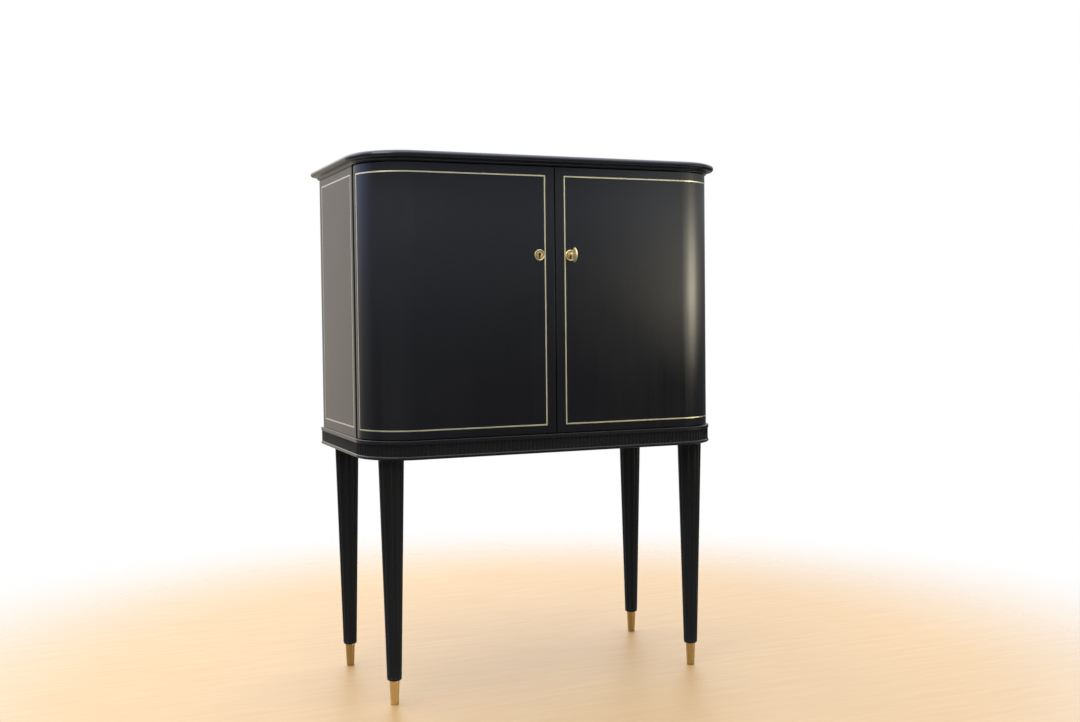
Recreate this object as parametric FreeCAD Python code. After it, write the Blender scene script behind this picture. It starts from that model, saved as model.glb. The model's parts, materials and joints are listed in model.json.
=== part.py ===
import FreeCAD, Part
import math
import os

# Bar cabinet on four fluted legs. All sizes in millimetres.
# Working frame while building: X to the right (0 = gap between the doors),
# Y to the back (0 = front face of the doors), Z up (0 = floor).
# Every piece is shifted by -Y_ORIGIN on output, so that the finished object
# stands centred on its own footprint box.

V = FreeCAD.Vector

# ---------------------------------------------------------------- dimensions
HALF_W = 450.0          # half width of the case
DEPTH = 464.0           # front face of the doors to the back edge of the sides
CORNER_R = 110.0        # outer radius of the curved front corners
CX = HALF_W - CORNER_R  # centre of the corner arcs, in x
CY = CORNER_R           # centre of the corner arcs, in y

Z_APRON0 = 565.5        # underside of the base frame
Z_APRON1 = 609.0        # ledge on which the case stands
Z_DOOR0 = 611.0
Z_DOOR1 = 1234.0
Z_CASE1 = 1236.0        # top of sides and sub-top
Z_CORN1 = 1242.5        # top of the cornice moulding
Z_TOP = 1258.5          # upper face of the top panel

APRON_OUT = 6.0         # base frame stands proud of the case by this
APRON_T = 22.0          # thickness of the base frame's side and back rails
FRONT_RAIL_T = 34.0     # the front rail also carries the bottom panel
FLUTE_RECESS = 1.5      # fluted band lies this far behind the fillets
FLUTE_R = 4.55          # radius of a flute's section
FLUTE_DEPTH = 2.8
FLUTE_PITCH = 10.0
Z_FLUTE0 = 573.5        # fluted band, lower end
Z_FLUTE1 = 600.0        # fluted band, upper end

DOOR_T = 20.0
DOOR_GAP = 3.0          # between the two doors
DOOR_END_Y = 122.3      # end of the door on the side of the case
SIDE_FRONT_Y = 127.3    # front edge of the side panel
SIDE_T = 20.0
SIDE_ROUND = 6.0        # rounding of the side panel's front outer edge
BOARD_T = 19.0
INNER_GAP = 2.5         # inside of the doors to the case's own front edges

TOP_OUT = 22.0          # overhang of the top panel
CORN_OUT0 = 4.0         # cornice overhang at its lower edge
CORN_OUT1 = 12.0        # cornice overhang at its upper edge

INLAY_W = 3.0
INLAY_D = 1.0
INLAY_Z0 = 629.7        # lower edge of the doors' lines
INLAY_Z1 = 1214.3       # upper edge of the doors' lines
SIDE_INLAY_Z0 = 631.0   # the sides' lines sit a little higher
SIDE_INLAY_Z1 = 1217.8
INLAY_X = 23.8          # inner edge of the line beside the centre gap
INLAY_MARGIN = 22.5     # line to the seam, measured along the surface

KEY_X = 39.5            # centre of the keyholes, from the middle
KEY_Z = 1030.5
ESC_DROP = 2.15         # middle of the escutcheon below the keyhole's centre
BOW_DROP = 2.2          # the bow's middle below the shank's axis
KEY_BOW_FRONT = -39.5   # foremost point of the key
BOLT_THROW = 8.0

PIVOT = (444.0, 116.3)  # hinge axis of the right door
LEAF_END = (436.0, 79.0)
LEAF_W = 9.0
LEAF_T = 2.5
PIN_R = 2.5

LEG_R_BOTTOM = 16.75    # leg radius just above the ferrule
LEG_R_TOP = 29.4        # leg radius under the base frame
LEG_FRONT = (388.0, 58.0)
LEG_BACK = (402.0, 417.0)
Z_FERRULE = 55.5
FERRULE_R_TOP = 11.75
FERRULE_R_BOTTOM = 9.5
LEG_FLUTES = 12
TENON_R = 14.0
TENON_L = 38.0

BACK_T = 8.0
BACK_Y0 = 454.0         # front face of the back panel
DIVIDER_T = 20.0
SHELF_T = 16.0
SHELF_Z = 950.0         # underside of the shelves
SHELF_FRONT_Y = 45.0

Y_ORIGIN = (DEPTH + KEY_BOW_FRONT) / 2.0

os.makedirs("parts", exist_ok=True)
NODES = {}


# ------------------------------------------------------------------ helpers
def put(name, shapes):
    """Store one node: a single solid, or a group of separate solids."""
    if not isinstance(shapes, list):
        shapes = [shapes]
    solids = []
    for s in shapes:
        solids.extend(s.Solids)
    for s in solids:
        if s.Volume < 0:
            s.reverse()
    NODES[name] = solids


def face_xy(segments, z):
    """Flat face from a closed list of points and arcs. A segment is
    ('l', (x, y)) for a straight run to the point, or
    ('a', (xm, ym), (x, y)) for an arc through the middle point."""
    start = V(segments[0][1][0], segments[0][1][1], z)
    here = start
    edges = []
    for seg in segments[1:]:
        if seg[0] == 'l':
            nxt = V(seg[1][0], seg[1][1], z)
            edges.append(Part.LineSegment(here, nxt).toShape())
        else:
            mid = V(seg[1][0], seg[1][1], z)
            nxt = V(seg[2][0], seg[2][1], z)
            edges.append(Part.Arc(here, mid, nxt).toShape())
        here = nxt
    if (here - start).Length > 1e-6:
        edges.append(Part.LineSegment(here, start).toShape())
    return Part.Face(Part.Wire(edges))


def prism(segments, z0, z1):
    return face_xy(segments, z0).extrude(V(0, 0, z1 - z0))


def box(x0, x1, y0, y1, z0, z1):
    return Part.makeBox(x1 - x0, y1 - y0, z1 - z0, V(x0, y0, z0))


def cyl(x, y, z0, z1, r):
    return Part.makeCylinder(r, z1 - z0, V(x, y, z0), V(0, 0, 1))


def mirror_x(shape):
    return shape.mirror(V(0, 0, 0), V(1, 0, 0))


def fuse(shapes):
    out = shapes[0]
    if len(shapes) > 1:
        out = shapes[0].multiFuse(shapes[1:])
    return out.removeSplitter()


def cut(shape, tools):
    return shape.cut(Part.makeCompound(tools))


def corner_mid(r):
    """Middle point of a front right corner arc of radius r."""
    k = r * math.sqrt(0.5)
    return (CX + k, CY - k)


def case_outline(d, y_back):
    """Plan of the whole case, grown by d: square at the back, curved
    corners at the front."""
    r = CORNER_R + d
    mx, my = corner_mid(r)
    w = HALF_W + d
    return [('l', (-w, y_back)), ('l', (-w, CY)), ('a', (-mx, my), (-CX, -d)),
            ('l', (CX, -d)), ('a', (mx, my), (w, CY)), ('l', (w, y_back))]


def profile_face(profile, place):
    """Face of an edge profile given as points (d, z) and arcs; place turns
    (d, z) into a point in space."""
    start = place(profile[0][1])
    here = start
    edges = []
    for seg in profile[1:]:
        if seg[0] == 'l':
            nxt = place(seg[1])
            edges.append(Part.LineSegment(here, nxt).toShape())
        else:
            nxt = place(seg[2])
            edges.append(Part.Arc(here, place(seg[1]), nxt).toShape())
        here = nxt
    if (here - start).Length > 1e-6:
        edges.append(Part.LineSegment(here, start).toShape())
    return Part.Face(Part.Wire(edges))


def run_front(profile):
    f = profile_face(profile, lambda p: V(-CX, -p[0], p[1]))
    return f.extrude(V(2 * CX, 0, 0))


def run_right(profile, y0, y1):
    f = profile_face(profile, lambda p: V(HALF_W + p[0], y0, p[1]))
    return f.extrude(V(0, y1 - y0, 0))


def run_corner(profile):
    f = profile_face(profile, lambda p: V(HALF_W + p[0], CY, p[1]))
    return f.revolve(V(CX, CY, 0), V(0, 0, -1), 90)


# --------------------------------------------------------------- base frame
IN = APRON_OUT - APRON_T
d_f = APRON_OUT - FLUTE_RECESS


def apron_profile(inside):
    """Rail section: half-round bead, fluted band, fillet with a round edge."""
    return [
        ('l', (inside, Z_APRON0)),
        ('l', (APRON_OUT - 3.2, Z_APRON0)),
        ('a', (APRON_OUT + 0.4, Z_APRON0 + 3.9), (d_f, Z_FLUTE0)),
        ('l', (d_f, Z_FLUTE1)),
        ('l', (APRON_OUT, Z_FLUTE1)),
        ('l', (APRON_OUT, Z_APRON1 - 1.6)),
        ('a', (APRON_OUT - 0.469, Z_APRON1 - 0.469), (APRON_OUT - 1.6, Z_APRON1)),
        ('l', (inside, Z_APRON1)),
    ]


def flute(x, y):
    return cyl(x, y, Z_FLUTE0, Z_FLUTE1, FLUTE_R)


flute_d = d_f + FLUTE_R - FLUTE_DEPTH
n_front = int(round(2 * CX / FLUTE_PITCH))
front_flutes = [flute(-CX + (i + 0.5) * 2 * CX / n_front, -flute_d) for i in range(n_front)]
apron_front = cut(run_front(apron_profile(APRON_OUT - FRONT_RAIL_T)), front_flutes)

SPLIT_Y = CY + 2 * FLUTE_PITCH      # joint of corner piece and side rail, between two flutes
corner_flutes = []
for i in range(18):
    a = math.radians(2.5 + 5.0 * i)
    r = CORNER_R + flute_d
    corner_flutes.append(flute(CX + r * math.cos(a), CY - r * math.sin(a)))
side_y = []
y = CY + FLUTE_PITCH / 2
while y < DEPTH - 8:
    side_y.append(y)
    y += FLUTE_PITCH
apron_corner = fuse([run_corner(apron_profile(IN)), run_right(apron_profile(IN), CY, SPLIT_Y)])
apron_corner = cut(apron_corner, corner_flutes + [flute(HALF_W + flute_d, yy) for yy in side_y if yy < SPLIT_Y])
apron_side = cut(run_right(apron_profile(IN), SPLIT_Y, DEPTH),
                 [flute(HALF_W + flute_d, yy) for yy in side_y if yy > SPLIT_Y])
inner_x = HALF_W + IN         # inner face of the side rails
inner_y = DEPTH - APRON_T     # inner face of the back rail
apron_back = box(-inner_x, inner_x, inner_y, DEPTH, Z_APRON0, Z_APRON1)

# blocks in the four corners that carry the legs
r_in = CORNER_R + IN
mx, my = corner_mid(r_in)
rail_y = FRONT_RAIL_T - APRON_OUT   # inner face of the front rail
block_front = prism([('l', (CX - 10, rail_y)), ('l', (CX, rail_y)), ('l', (CX, -IN)), ('a', (mx, my), (inner_x, CY)),
                     ('l', (inner_x, CY + 12)), ('l', (CX - 10, CY + 12))], Z_APRON0, Z_APRON1)
block_back = prism([('l', (inner_x - 90, inner_y - 90)), ('l', (inner_x, inner_y - 90)),
                    ('l', (inner_x, inner_y)), ('l', (inner_x - 90, inner_y))], Z_APRON0, Z_APRON1)

# ---------------------------------------------------------------------- legs
slope = (LEG_R_TOP - LEG_R_BOTTOM) / (Z_APRON0 - Z_FERRULE)
apex_z = Z_FERRULE - LEG_R_BOTTOM / slope


def leg_r(z):
    return (z - apex_z) * slope


def revolve_z(points, x, y):
    """Solid of revolution about a vertical axis; points are (r, z), with
    optional arcs as in profile_face."""
    f = profile_face(points, lambda p: V(x + p[0], y, p[1]))
    return f.revolve(V(x, y, 0), V(0, 0, 1), 360)


ROUND_B = 4.0
SPIGOT_R = 8.0
leg = revolve_z([
    ('l', (0, 20.0)), ('l', (SPIGOT_R, 20.0)), ('l', (SPIGOT_R, Z_FERRULE)),
    ('l', (leg_r(Z_FERRULE) - ROUND_B, Z_FERRULE)),
    ('a', (leg_r(Z_FERRULE) - 0.29 * ROUND_B, Z_FERRULE + 0.29 * ROUND_B), (leg_r(Z_FERRULE + ROUND_B), Z_FERRULE + ROUND_B)),
    ('l', (LEG_R_TOP, Z_APRON0)),
    ('l', (TENON_R, Z_APRON0)), ('l', (TENON_R, Z_APRON0 + TENON_L)), ('l', (0, Z_APRON0 + TENON_L))], 0, 0)
# concave flutes that narrow with the leg: each is a cone whose point is the
# leg's own vanishing point, with round ends
FL_R = 0.285            # flute radius as a share of the leg radius
FL_C = 1.0 + FL_R - 0.085   # its centre line, as a share of the leg radius
z_a, z_b = Z_FERRULE + 9.0, Z_APRON0 - 8.0
axis_dir = V(FL_C * slope, 0, 1)
pa = V(FL_C * leg_r(z_a), 0, z_a)
pb = V(FL_C * leg_r(z_b), 0, z_b)
fa, fb, fl = FL_R * leg_r(z_a), FL_R * leg_r(z_b), (pb - pa).Length
m = math.sqrt(0.5)
f = profile_face([('l', (0, -fa)), ('a', (fa * m, -fa * m), (fa, 0)), ('l', (fb, fl)),
                  ('a', (fb * m, fl + fb * m), (0, fl + fb))], lambda p: V(p[0], 0, p[1]))
one = f.revolve(V(0, 0, 0), V(0, 0, 1), 360)
one.rotate(V(0, 0, 0), V(0, 1, 0), math.degrees(math.atan(FL_C * slope)))
one.translate(pa)
flute_tools = []
for i in range(LEG_FLUTES):
    c = one.copy()
    c.rotate(V(0, 0, 0), V(0, 0, 1), i * 360.0 / LEG_FLUTES + 7.5)
    flute_tools.append(c)
leg = cut(leg, flute_tools)
ferrule = revolve_z([
    ('l', (0, 0)), ('l', (FERRULE_R_BOTTOM - 1.0, 0)),
    ('a', (FERRULE_R_BOTTOM - 0.29, 0.29), (FERRULE_R_BOTTOM, 1.0)),
    ('l', (FERRULE_R_TOP - 0.05, Z_FERRULE - 0.6)), ('l', (FERRULE_R_TOP - 0.6, Z_FERRULE)),
    ('l', (SPIGOT_R, Z_FERRULE)), ('l', (SPIGOT_R, 20.0)), ('l', (0, 20.0))], 0, 0)


def moved(shape, x, y, z=0.0):
    s = shape.copy()
    s.translate(V(x, y, z))
    return s


for side, sx in (('right', 1), ('left', -1)):
    for end, (px, py) in (('front', LEG_FRONT), ('back', LEG_BACK)):
        put('leg_%s_%s' % (end, side), moved(leg, sx * px, py))
        put('ferrule_%s_%s' % (end, side), moved(ferrule, sx * px, py))

# --------------------------------------------------------------------- case
# side panel: rounded front edge, rebate for the back panel
k = SIDE_ROUND * (1 - math.sqrt(0.5))
side = prism([('l', (HALF_W - SIDE_T, SIDE_FRONT_Y)), ('l', (HALF_W - SIDE_ROUND, SIDE_FRONT_Y)),
              ('a', (HALF_W - k, SIDE_FRONT_Y + k), (HALF_W, SIDE_FRONT_Y + SIDE_ROUND)),
              ('l', (HALF_W, DEPTH)), ('l', (HALF_W - 10, DEPTH)), ('l', (HALF_W - 10, BACK_Y0)),
              ('l', (HALF_W - SIDE_T, BACK_Y0))], Z_APRON1, Z_CASE1)

# boards behind the doors: their front edge follows the inside of the doors
bd = -(DOOR_T + INNER_GAP)
br = CORNER_R + bd
bmx, bmy = corner_mid(br)
bw = HALF_W + bd
sw = HALF_W - SIDE_T
board = [('l', (-sw, BACK_Y0)), ('l', (-sw, SIDE_FRONT_Y)), ('l', (-bw, SIDE_FRONT_Y)), ('l', (-bw, CY)),
         ('a', (-bmx, bmy), (-CX, -bd)), ('l', (CX, -bd)), ('a', (bmx, bmy), (bw, CY)),
         ('l', (bw, SIDE_FRONT_Y)), ('l', (sw, SIDE_FRONT_Y)), ('l', (sw, BACK_Y0))]
Z_BOT1 = Z_APRON1 + BOARD_T
Z_SUB0 = Z_CASE1 - BOARD_T
bottom = prism(board, Z_APRON1, Z_BOT1)
sub_top = prism(board, Z_SUB0, Z_CASE1)
divider = box(-DIVIDER_T / 2, DIVIDER_T / 2, -bd, BACK_Y0, Z_BOT1, Z_SUB0)
back = box(-(HALF_W - 10), HALF_W - 10, BACK_Y0, BACK_Y0 + BACK_T, Z_APRON1, Z_CASE1)

# cornice: flat plate with a hollow (cove) along its outer edge
corn_profile = [
    ('l', (-30.0, Z_CASE1)), ('l', (CORN_OUT0, Z_CASE1)), ('l', (CORN_OUT0, Z_CASE1 + 0.8)),
    ('a', (CORN_OUT0 + 1.9, Z_CASE1 + 3.9), (CORN_OUT1, Z_CORN1)),
    ('l', (-30.0, Z_CORN1))]
c_right = run_corner(corn_profile)
s_right = run_right(corn_profile, CY, DEPTH)
cornice = fuse([prism(case_outline(-30.0, DEPTH), Z_CASE1, Z_CORN1), run_front(corn_profile),
                c_right, s_right, mirror_x(c_right), mirror_x(s_right)])

# top panel: full bullnose at the front, the corners and the sides
h = (Z_TOP - Z_CORN1) / 2
top_profile = [
    ('l', (-30.0, Z_CORN1)), ('l', (TOP_OUT - h, Z_CORN1)),
    ('a', (TOP_OUT, Z_CORN1 + h), (TOP_OUT - h, Z_TOP)), ('l', (-30.0, Z_TOP))]
c_right = run_corner(top_profile)
s_right = run_right(top_profile, CY, DEPTH)
top = fuse([prism(case_outline(-30.0, DEPTH), Z_CORN1, Z_TOP), run_front(top_profile),
            c_right, s_right, mirror_x(c_right), mirror_x(s_right)])

# side inlay: closed line let into the flat of the side
iy0, iy1 = SIDE_FRONT_Y + 20.5, DEPTH - 23.0
iz0, iz1 = SIDE_INLAY_Z0, SIDE_INLAY_Z1
side_inlay = box(HALF_W - INLAY_D, HALF_W, iy0, iy1, iz0, iz1).cut(
    box(HALF_W - INLAY_D - 1, HALF_W + 1, iy0 + INLAY_W, iy1 - INLAY_W, iz0 + INLAY_W, iz1 - INLAY_W))
side = side.cut(side_inlay)

# shelves: one on each side of the divider, rounded behind the curved door
sx1 = HALF_W - SIDE_T - 2.0
sr = sx1 - CX
scy = SHELF_FRONT_Y + sr
sk = sr * math.sqrt(0.5)
shelf = prism([('l', (DIVIDER_T / 2 + 2, SHELF_FRONT_Y)), ('l', (CX, SHELF_FRONT_Y)),
               ('a', (CX + sk, scy - sk), (sx1, scy)), ('l', (sx1, BACK_Y0 - 2)),
               ('l', (DIVIDER_T / 2 + 2, BACK_Y0 - 2))], SHELF_Z, SHELF_Z + SHELF_T)
PIN_D = 5.0
pin_z = SHELF_Z - PIN_D / 2 - 0.02
shelf_pins = []
for py in (180.0, 400.0):
    for x0, x1 in ((HALF_W - SIDE_T - 11, HALF_W - SIDE_T + 9), (DIVIDER_T / 2 - 8, DIVIDER_T / 2 + 12)):
        shelf_pins.append(Part.makeCylinder(PIN_D / 2, x1 - x0, V(x0, py, pin_z), V(1, 0, 0)))
side = cut(side, shelf_pins)
all_pins = shelf_pins + [mirror_x(p) for p in shelf_pins]
divider = cut(divider, all_pins)

# -------------------------------------------------------------------- doors
g = DOOR_GAP / 2
e = 0.4                 # easing of the meeting edges
q = 3.0                 # rounding of the edge at the seam
ke, kq = e * (1 - math.sqrt(0.5)), q * (1 - math.sqrt(0.5))
mo = corner_mid(CORNER_R)
mi = corner_mid(CORNER_R - DOOR_T)
xi = HALF_W - DOOR_T
door = prism([('l', (g, e)), ('a', (g + ke, ke), (g + e, 0)), ('l', (CX, 0)), ('a', mo, (HALF_W, CY)),
              ('l', (HALF_W, DOOR_END_Y - q)), ('a', (HALF_W - kq, DOOR_END_Y - kq), (HALF_W - q, DOOR_END_Y)),
              ('l', (xi, DOOR_END_Y)), ('l', (xi, CY)), ('a', mi, (CX, DOOR_T)), ('l', (g, DOOR_T))],
             Z_DOOR0, Z_DOOR1)


def on_arc(r, a):
    """Point of the corner at angle a from the side towards the front."""
    return (CX + r * math.cos(a), CY - r * math.sin(a))


# door inlay: closed line that follows the flat front and the curved corner
seam_line = INLAY_MARGIN - (DOOR_END_Y - CY)      # length left on the arc
a0 = seam_line / CORNER_R
a1 = (seam_line + INLAY_W) / CORNER_R
ro, ri = CORNER_R, CORNER_R - INLAY_D


def inlay_strip(z0, z1):
    am = (a0 + math.pi / 2) / 2
    return prism([('l', (INLAY_X, 0)), ('l', (CX, 0)), ('a', on_arc(ro, am), on_arc(ro, a0)),
                  ('l', on_arc(ri, a0)), ('a', on_arc(ri, am), (CX, INLAY_D)), ('l', (INLAY_X, INLAY_D))], z0, z1)


am = (a0 + a1) / 2
seam_bar = prism([('l', on_arc(ro, a1)), ('a', on_arc(ro, am), on_arc(ro, a0)), ('l', on_arc(ri, a0)),
                  ('a', on_arc(ri, am), on_arc(ri, a1))], INLAY_Z0, INLAY_Z1)
door_inlay = fuse([inlay_strip(INLAY_Z0, INLAY_Z0 + INLAY_W), inlay_strip(INLAY_Z1 - INLAY_W, INLAY_Z1),
                   box(INLAY_X, INLAY_X + INLAY_W, 0, INLAY_D, INLAY_Z0, INLAY_Z1), seam_bar])
door = door.cut(door_inlay)


def keyhole(x, z, y0, y1, r, half_slot, drop):
    """Keyhole prism along y: a round hole with a slot below it."""
    hole = Part.makeCylinder(r, y1 - y0, V(x, y0, z), V(0, 1, 0))
    slot = box(x - half_slot, x + half_slot, y0, y1, z - drop, z)
    return fuse([hole, slot])


door = door.cut(keyhole(KEY_X, KEY_Z, -1, DOOR_T + 1, 4.0, 2.2, 11.5))

# escutcheon: domed disc with a rim, pierced by the keyhole
ESC_R = 13.0
esc_face = profile_face([('l', (0, 0)), ('l', (ESC_R, 0)), ('l', (ESC_R, 0.5)),
                         ('a', (ESC_R - 0.4, 1.1), (ESC_R - 1.2, 1.2)),
                         ('a', (6.4, 2.45), (0, 2.9))],
                        lambda p: V(KEY_X + p[0], -p[1], KEY_Z - ESC_DROP))
escutcheon = esc_face.revolve(V(KEY_X, 0, KEY_Z - ESC_DROP), V(0, 1, 0), 360)
escutcheon = escutcheon.cut(keyhole(KEY_X, KEY_Z, -6, 1, 3.1, 1.7, 9.9))

# ------------------------------------------------------------------- hinges
def stadium(z0, z1, w):
    px, py = PIVOT
    qx, qy = LEAF_END
    L = math.hypot(qx - px, qy - py)
    ux, uy = (qx - px) / L, (qy - py) / L
    nx, ny = -uy * w / 2, ux * w / 2
    hw = w / 2
    return prism([('l', (px + nx, py + ny)), ('a', (px - ux * hw, py - uy * hw), (px - nx, py - ny)),
                  ('l', (qx - nx, qy - ny)), ('a', (qx + ux * hw, qy + uy * hw), (qx + nx, qy + ny))], z0, z1)


def leaf_screw(t, z_face, up):
    """Countersunk screw at share t along a hinge leaf. z_face is the leaf's
    free face, and up (1 or -1) the way the screw goes in."""
    x = PIVOT[0] + t * (LEAF_END[0] - PIVOT[0])
    y0 = PIVOT[1] + t * (LEAF_END[1] - PIVOT[1])
    return revolve_z([('l', (0, z_face)), ('l', (3.0, z_face)), ('l', (1.5, z_face + up * 1.6)),
                      ('l', (1.5, z_face + up * 13.0)), ('l', (0, z_face + up * 14.5))], x, y0)


px, py = PIVOT
door_leaf_low = stadium(Z_DOOR0, Z_DOOR0 + LEAF_T, LEAF_W)
door_leaf_high = stadium(Z_DOOR1 - LEAF_T, Z_DOOR1, LEAF_W)
case_leaf_low = stadium(Z_APRON1 - LEAF_T, Z_APRON1, LEAF_W)
case_leaf_high = stadium(Z_CASE1, Z_CASE1 + LEAF_T, LEAF_W)
pin_low = cyl(px, py, Z_APRON1 - LEAF_T, Z_DOOR0 + 7.0, PIN_R)
pin_high = cyl(px, py, Z_DOOR1 - 7.0, Z_CASE1 + LEAF_T, PIN_R)
washer_low = cyl(px, py, Z_APRON1, Z_APRON1 + 1.8, 5.0).cut(cyl(px, py, Z_APRON1, Z_APRON1 + 1.8, PIN_R))
door_screws = [leaf_screw(t, Z_DOOR0, 1) for t in (0.42, 0.92)] + [leaf_screw(t, Z_DOOR1, -1) for t in (0.42, 0.92)]
case_screws = [leaf_screw(t, Z_APRON1, -1) for t in (0.42, 0.92)] + [leaf_screw(t, Z_CASE1, 1) for t in (0.42, 0.92)]
door = door.cut(door_leaf_low).cut(door_leaf_high)
door = cut(door, door_screws)
door = door.cut(cyl(px, py, Z_DOOR0, Z_DOOR0 + 7.6, PIN_R + 0.4)).cut(cyl(px, py, Z_DOOR1 - 7.6, Z_DOOR1, PIN_R + 0.4))
run_hole = 0.05         # running clearance of the door leaf on its pin
door_leaf_low = cut(door_leaf_low, door_screws + [cyl(px, py, Z_DOOR0 - 1, Z_DOOR0 + LEAF_T + 1, PIN_R + run_hole)])
door_leaf_high = cut(door_leaf_high, door_screws + [cyl(px, py, Z_DOOR1 - LEAF_T - 1, Z_DOOR1 + 1, PIN_R + run_hole)])
apron_corner = cut(apron_corner.cut(case_leaf_low), case_screws)
case_leaf_low_cut = cut(case_leaf_low, case_screws + [pin_low])
case_leaf_high_cut = cut(case_leaf_high, case_screws + [pin_high])
hinge_tools_r = [case_leaf_high] + case_screws
hinge_tools = hinge_tools_r + [mirror_x(t) for t in hinge_tools_r]
cornice = cut(cornice, hinge_tools)
top = cut(top, case_screws + [mirror_x(t) for t in case_screws])

# -------------------------------------------------------------------- locks
LX0, LX1 = 12.0, 66.0               # lock plate, from the middle outwards
LZ0, LZ1 = KEY_Z - 24.0, KEY_Z + 24.0
LY = DOOR_T                         # the plate lies on the door's inside
PLATE_T = 1.5
CASE_Y1 = LY + 13.0
lock_plate = box(LX0, LX1, LY, LY + PLATE_T, LZ0, LZ1)
lock_screws = []
for sx_ in (LX0 + 6.0, LX1 - 6.0):
    for sz in (LZ0 + 3.6, LZ1 - 3.6):
        f = profile_face([('l', (0, -13.5)), ('l', (1.4, -12.0)), ('l', (1.4, 0)), ('l', (2.9, 0)),
                          ('l', (2.9, 0.5)), ('l', (1.9, 1.5)), ('l', (0, 1.5))],
                         lambda p: V(sx_ + p[0], LY + PLATE_T + p[1], sz))
        lock_screws.append(f.revolve(V(sx_, LY, sz), V(0, 1, 0), 360))
lock_plate = cut(lock_plate, lock_screws)
lock_plate = lock_plate.cut(keyhole(KEY_X, KEY_Z, LY - 1, LY + PLATE_T + 1, 3.1, 1.7, 10.5))
door = cut(door, lock_screws)
CZ0, CZ1 = KEY_Z - 17.0, KEY_Z + 17.0
CX1 = 61.0
wall = 1.5
lock_case = box(LX0, CX1, LY + PLATE_T, CASE_Y1, CZ0, CZ1).cut(
    box(LX0 + wall, CX1 - wall, LY + PLATE_T - 1, CASE_Y1 - wall, CZ0 + wall, CZ1 - wall))
BY0, BY1 = LY + 4.0, LY + 8.0       # bolt, in depth
BZ0, BZ1 = KEY_Z - 13.0, KEY_Z - 4.0
lock_case = lock_case.cut(box(LX0 - 1, LX0 + wall + 1, BY0 - 0.4, BY1 + 0.4, BZ0 - 0.4, BZ1 + 0.4))
bolt = box(LX0 + 0.2, 57.0, BY0, BY1, BZ0, BZ1)
bolt = bolt.cut(box(KEY_X - 4.2, KEY_X + 2.2, BY0 - 1, BY1 + 1, KEY_Z - 10.5, BZ1 + 1))
# strike plate let into the side of the divider, with the mortise behind it
hd = DIVIDER_T / 2
strike = box(hd - 1.5, hd, BY0 - 1.2, BY1 + 8.0, BZ0 - 14.0, BZ1 + 14.0)
slot = box(3.4, hd + 1, BY0 - 0.6, BY1 + 0.6, BZ0 - 0.6, BZ1 + 0.6)
for t in (strike, slot):
    divider = divider.cut(t).cut(mirror_x(t))
strike_screws = []
for sz in (BZ0 - 8.5, BZ1 + 8.5):
    sy = BY1 + 0.6
    f = profile_face([('l', (0, 0)), ('l', (2.6, 0)), ('l', (1.2, -1.4)), ('l', (1.2, -7.0)), ('l', (0, -7.6))],
                     lambda p: V(hd + p[1], sy + p[0], sz))
    strike_screws.append(f.revolve(V(hd, sy, sz), V(1, 0, 0), 360))
strike = cut(strike.cut(slot), strike_screws)
divider = cut(divider, strike_screws + [mirror_x(s) for s in strike_screws])

# ---------------------------------------------------------------------- key
shank_r = 2.5
key_shank = Part.makeCylinder(shank_r, 48.0, V(KEY_X, -18.0, KEY_Z), V(0, 1, 0))
collar = Part.makeCylinder(4.2, 3.0, V(KEY_X, -14.5, KEY_Z), V(0, 1, 0))
collar2 = Part.makeCylinder(3.4, 2.0, V(KEY_X, -11.5, KEY_Z), V(0, 1, 0))
# bow: solid plate, straight towards the door and rounded in front
bow_t = 8.0
by, bz = -17.0, 18.0
bow_face = profile_face([
    ('l', (by, 9.0)), ('a', (by - 0.8, 14.6), (by - 4.2, bz)),
    ('a', (by - 17.2, 11.8), (KEY_BOW_FRONT, 0.0)), ('a', (by - 17.2, -11.8), (by - 4.2, -bz)),
    ('a', (by - 0.8, -14.6), (by, -9.0))], lambda p: V(KEY_X - bow_t / 2, p[0], KEY_Z - BOW_DROP + p[1]))
bow = bow_face.extrude(V(bow_t, 0, 0))
bit = box(KEY_X - 1.0, KEY_X + 1.0, BY0 + 0.5, BY1 - 0.5, KEY_Z - 9.5, KEY_Z)
key = fuse([key_shank, collar, collar2, bow, bit])

# ------------------------------------------------------------ other fixings
top_screws = []
for x in (-330.0, -90.0, 90.0, 330.0):
    for y0 in (120.0, 420.0):
        top_screws.append(revolve_z([('l', (0, Z_SUB0)), ('l', (4.0, Z_SUB0)), ('l', (2.0, Z_SUB0 + 2.4)),
                                     ('l', (2.0, Z_SUB0 + 32.0)), ('l', (0, Z_SUB0 + 34.5))], x, y0))
sub_top = cut(sub_top, top_screws)
cornice = cut(cornice, top_screws)
top = cut(top, top_screws)
base_screws = []
for x, y0 in ((345.0, 100.0), (352.0, 366.0)):
    for s in (1, -1):
        base_screws.append(revolve_z([('l', (0, Z_APRON0 + 9)), ('l', (4.2, Z_APRON0 + 9)), ('l', (4.2, Z_APRON0 + 11)),
                                      ('l', (2.1, Z_APRON0 + 13.4)), ('l', (2.1, Z_APRON1 + 13.0)),
                                      ('l', (0, Z_APRON1 + 15.5))], s * x, y0))
bottom = cut(bottom, base_screws)
counter = [cyl(s.BoundBox.Center.x, s.BoundBox.Center.y, Z_APRON0 - 1, Z_APRON0 + 9, 4.2) for s in base_screws]
block_front = cut(block_front, [cyl(LEG_FRONT[0], LEG_FRONT[1], Z_APRON0 - 1, Z_APRON0 + TENON_L, TENON_R)] + base_screws)
block_front = cut(block_front, counter)
block_back = cut(block_back, [cyl(LEG_BACK[0], LEG_BACK[1], Z_APRON0 - 1, Z_APRON0 + TENON_L, TENON_R)] + base_screws)
block_back = cut(block_back, counter)
back_screws = []
by1 = BACK_Y0 + BACK_T


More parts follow.
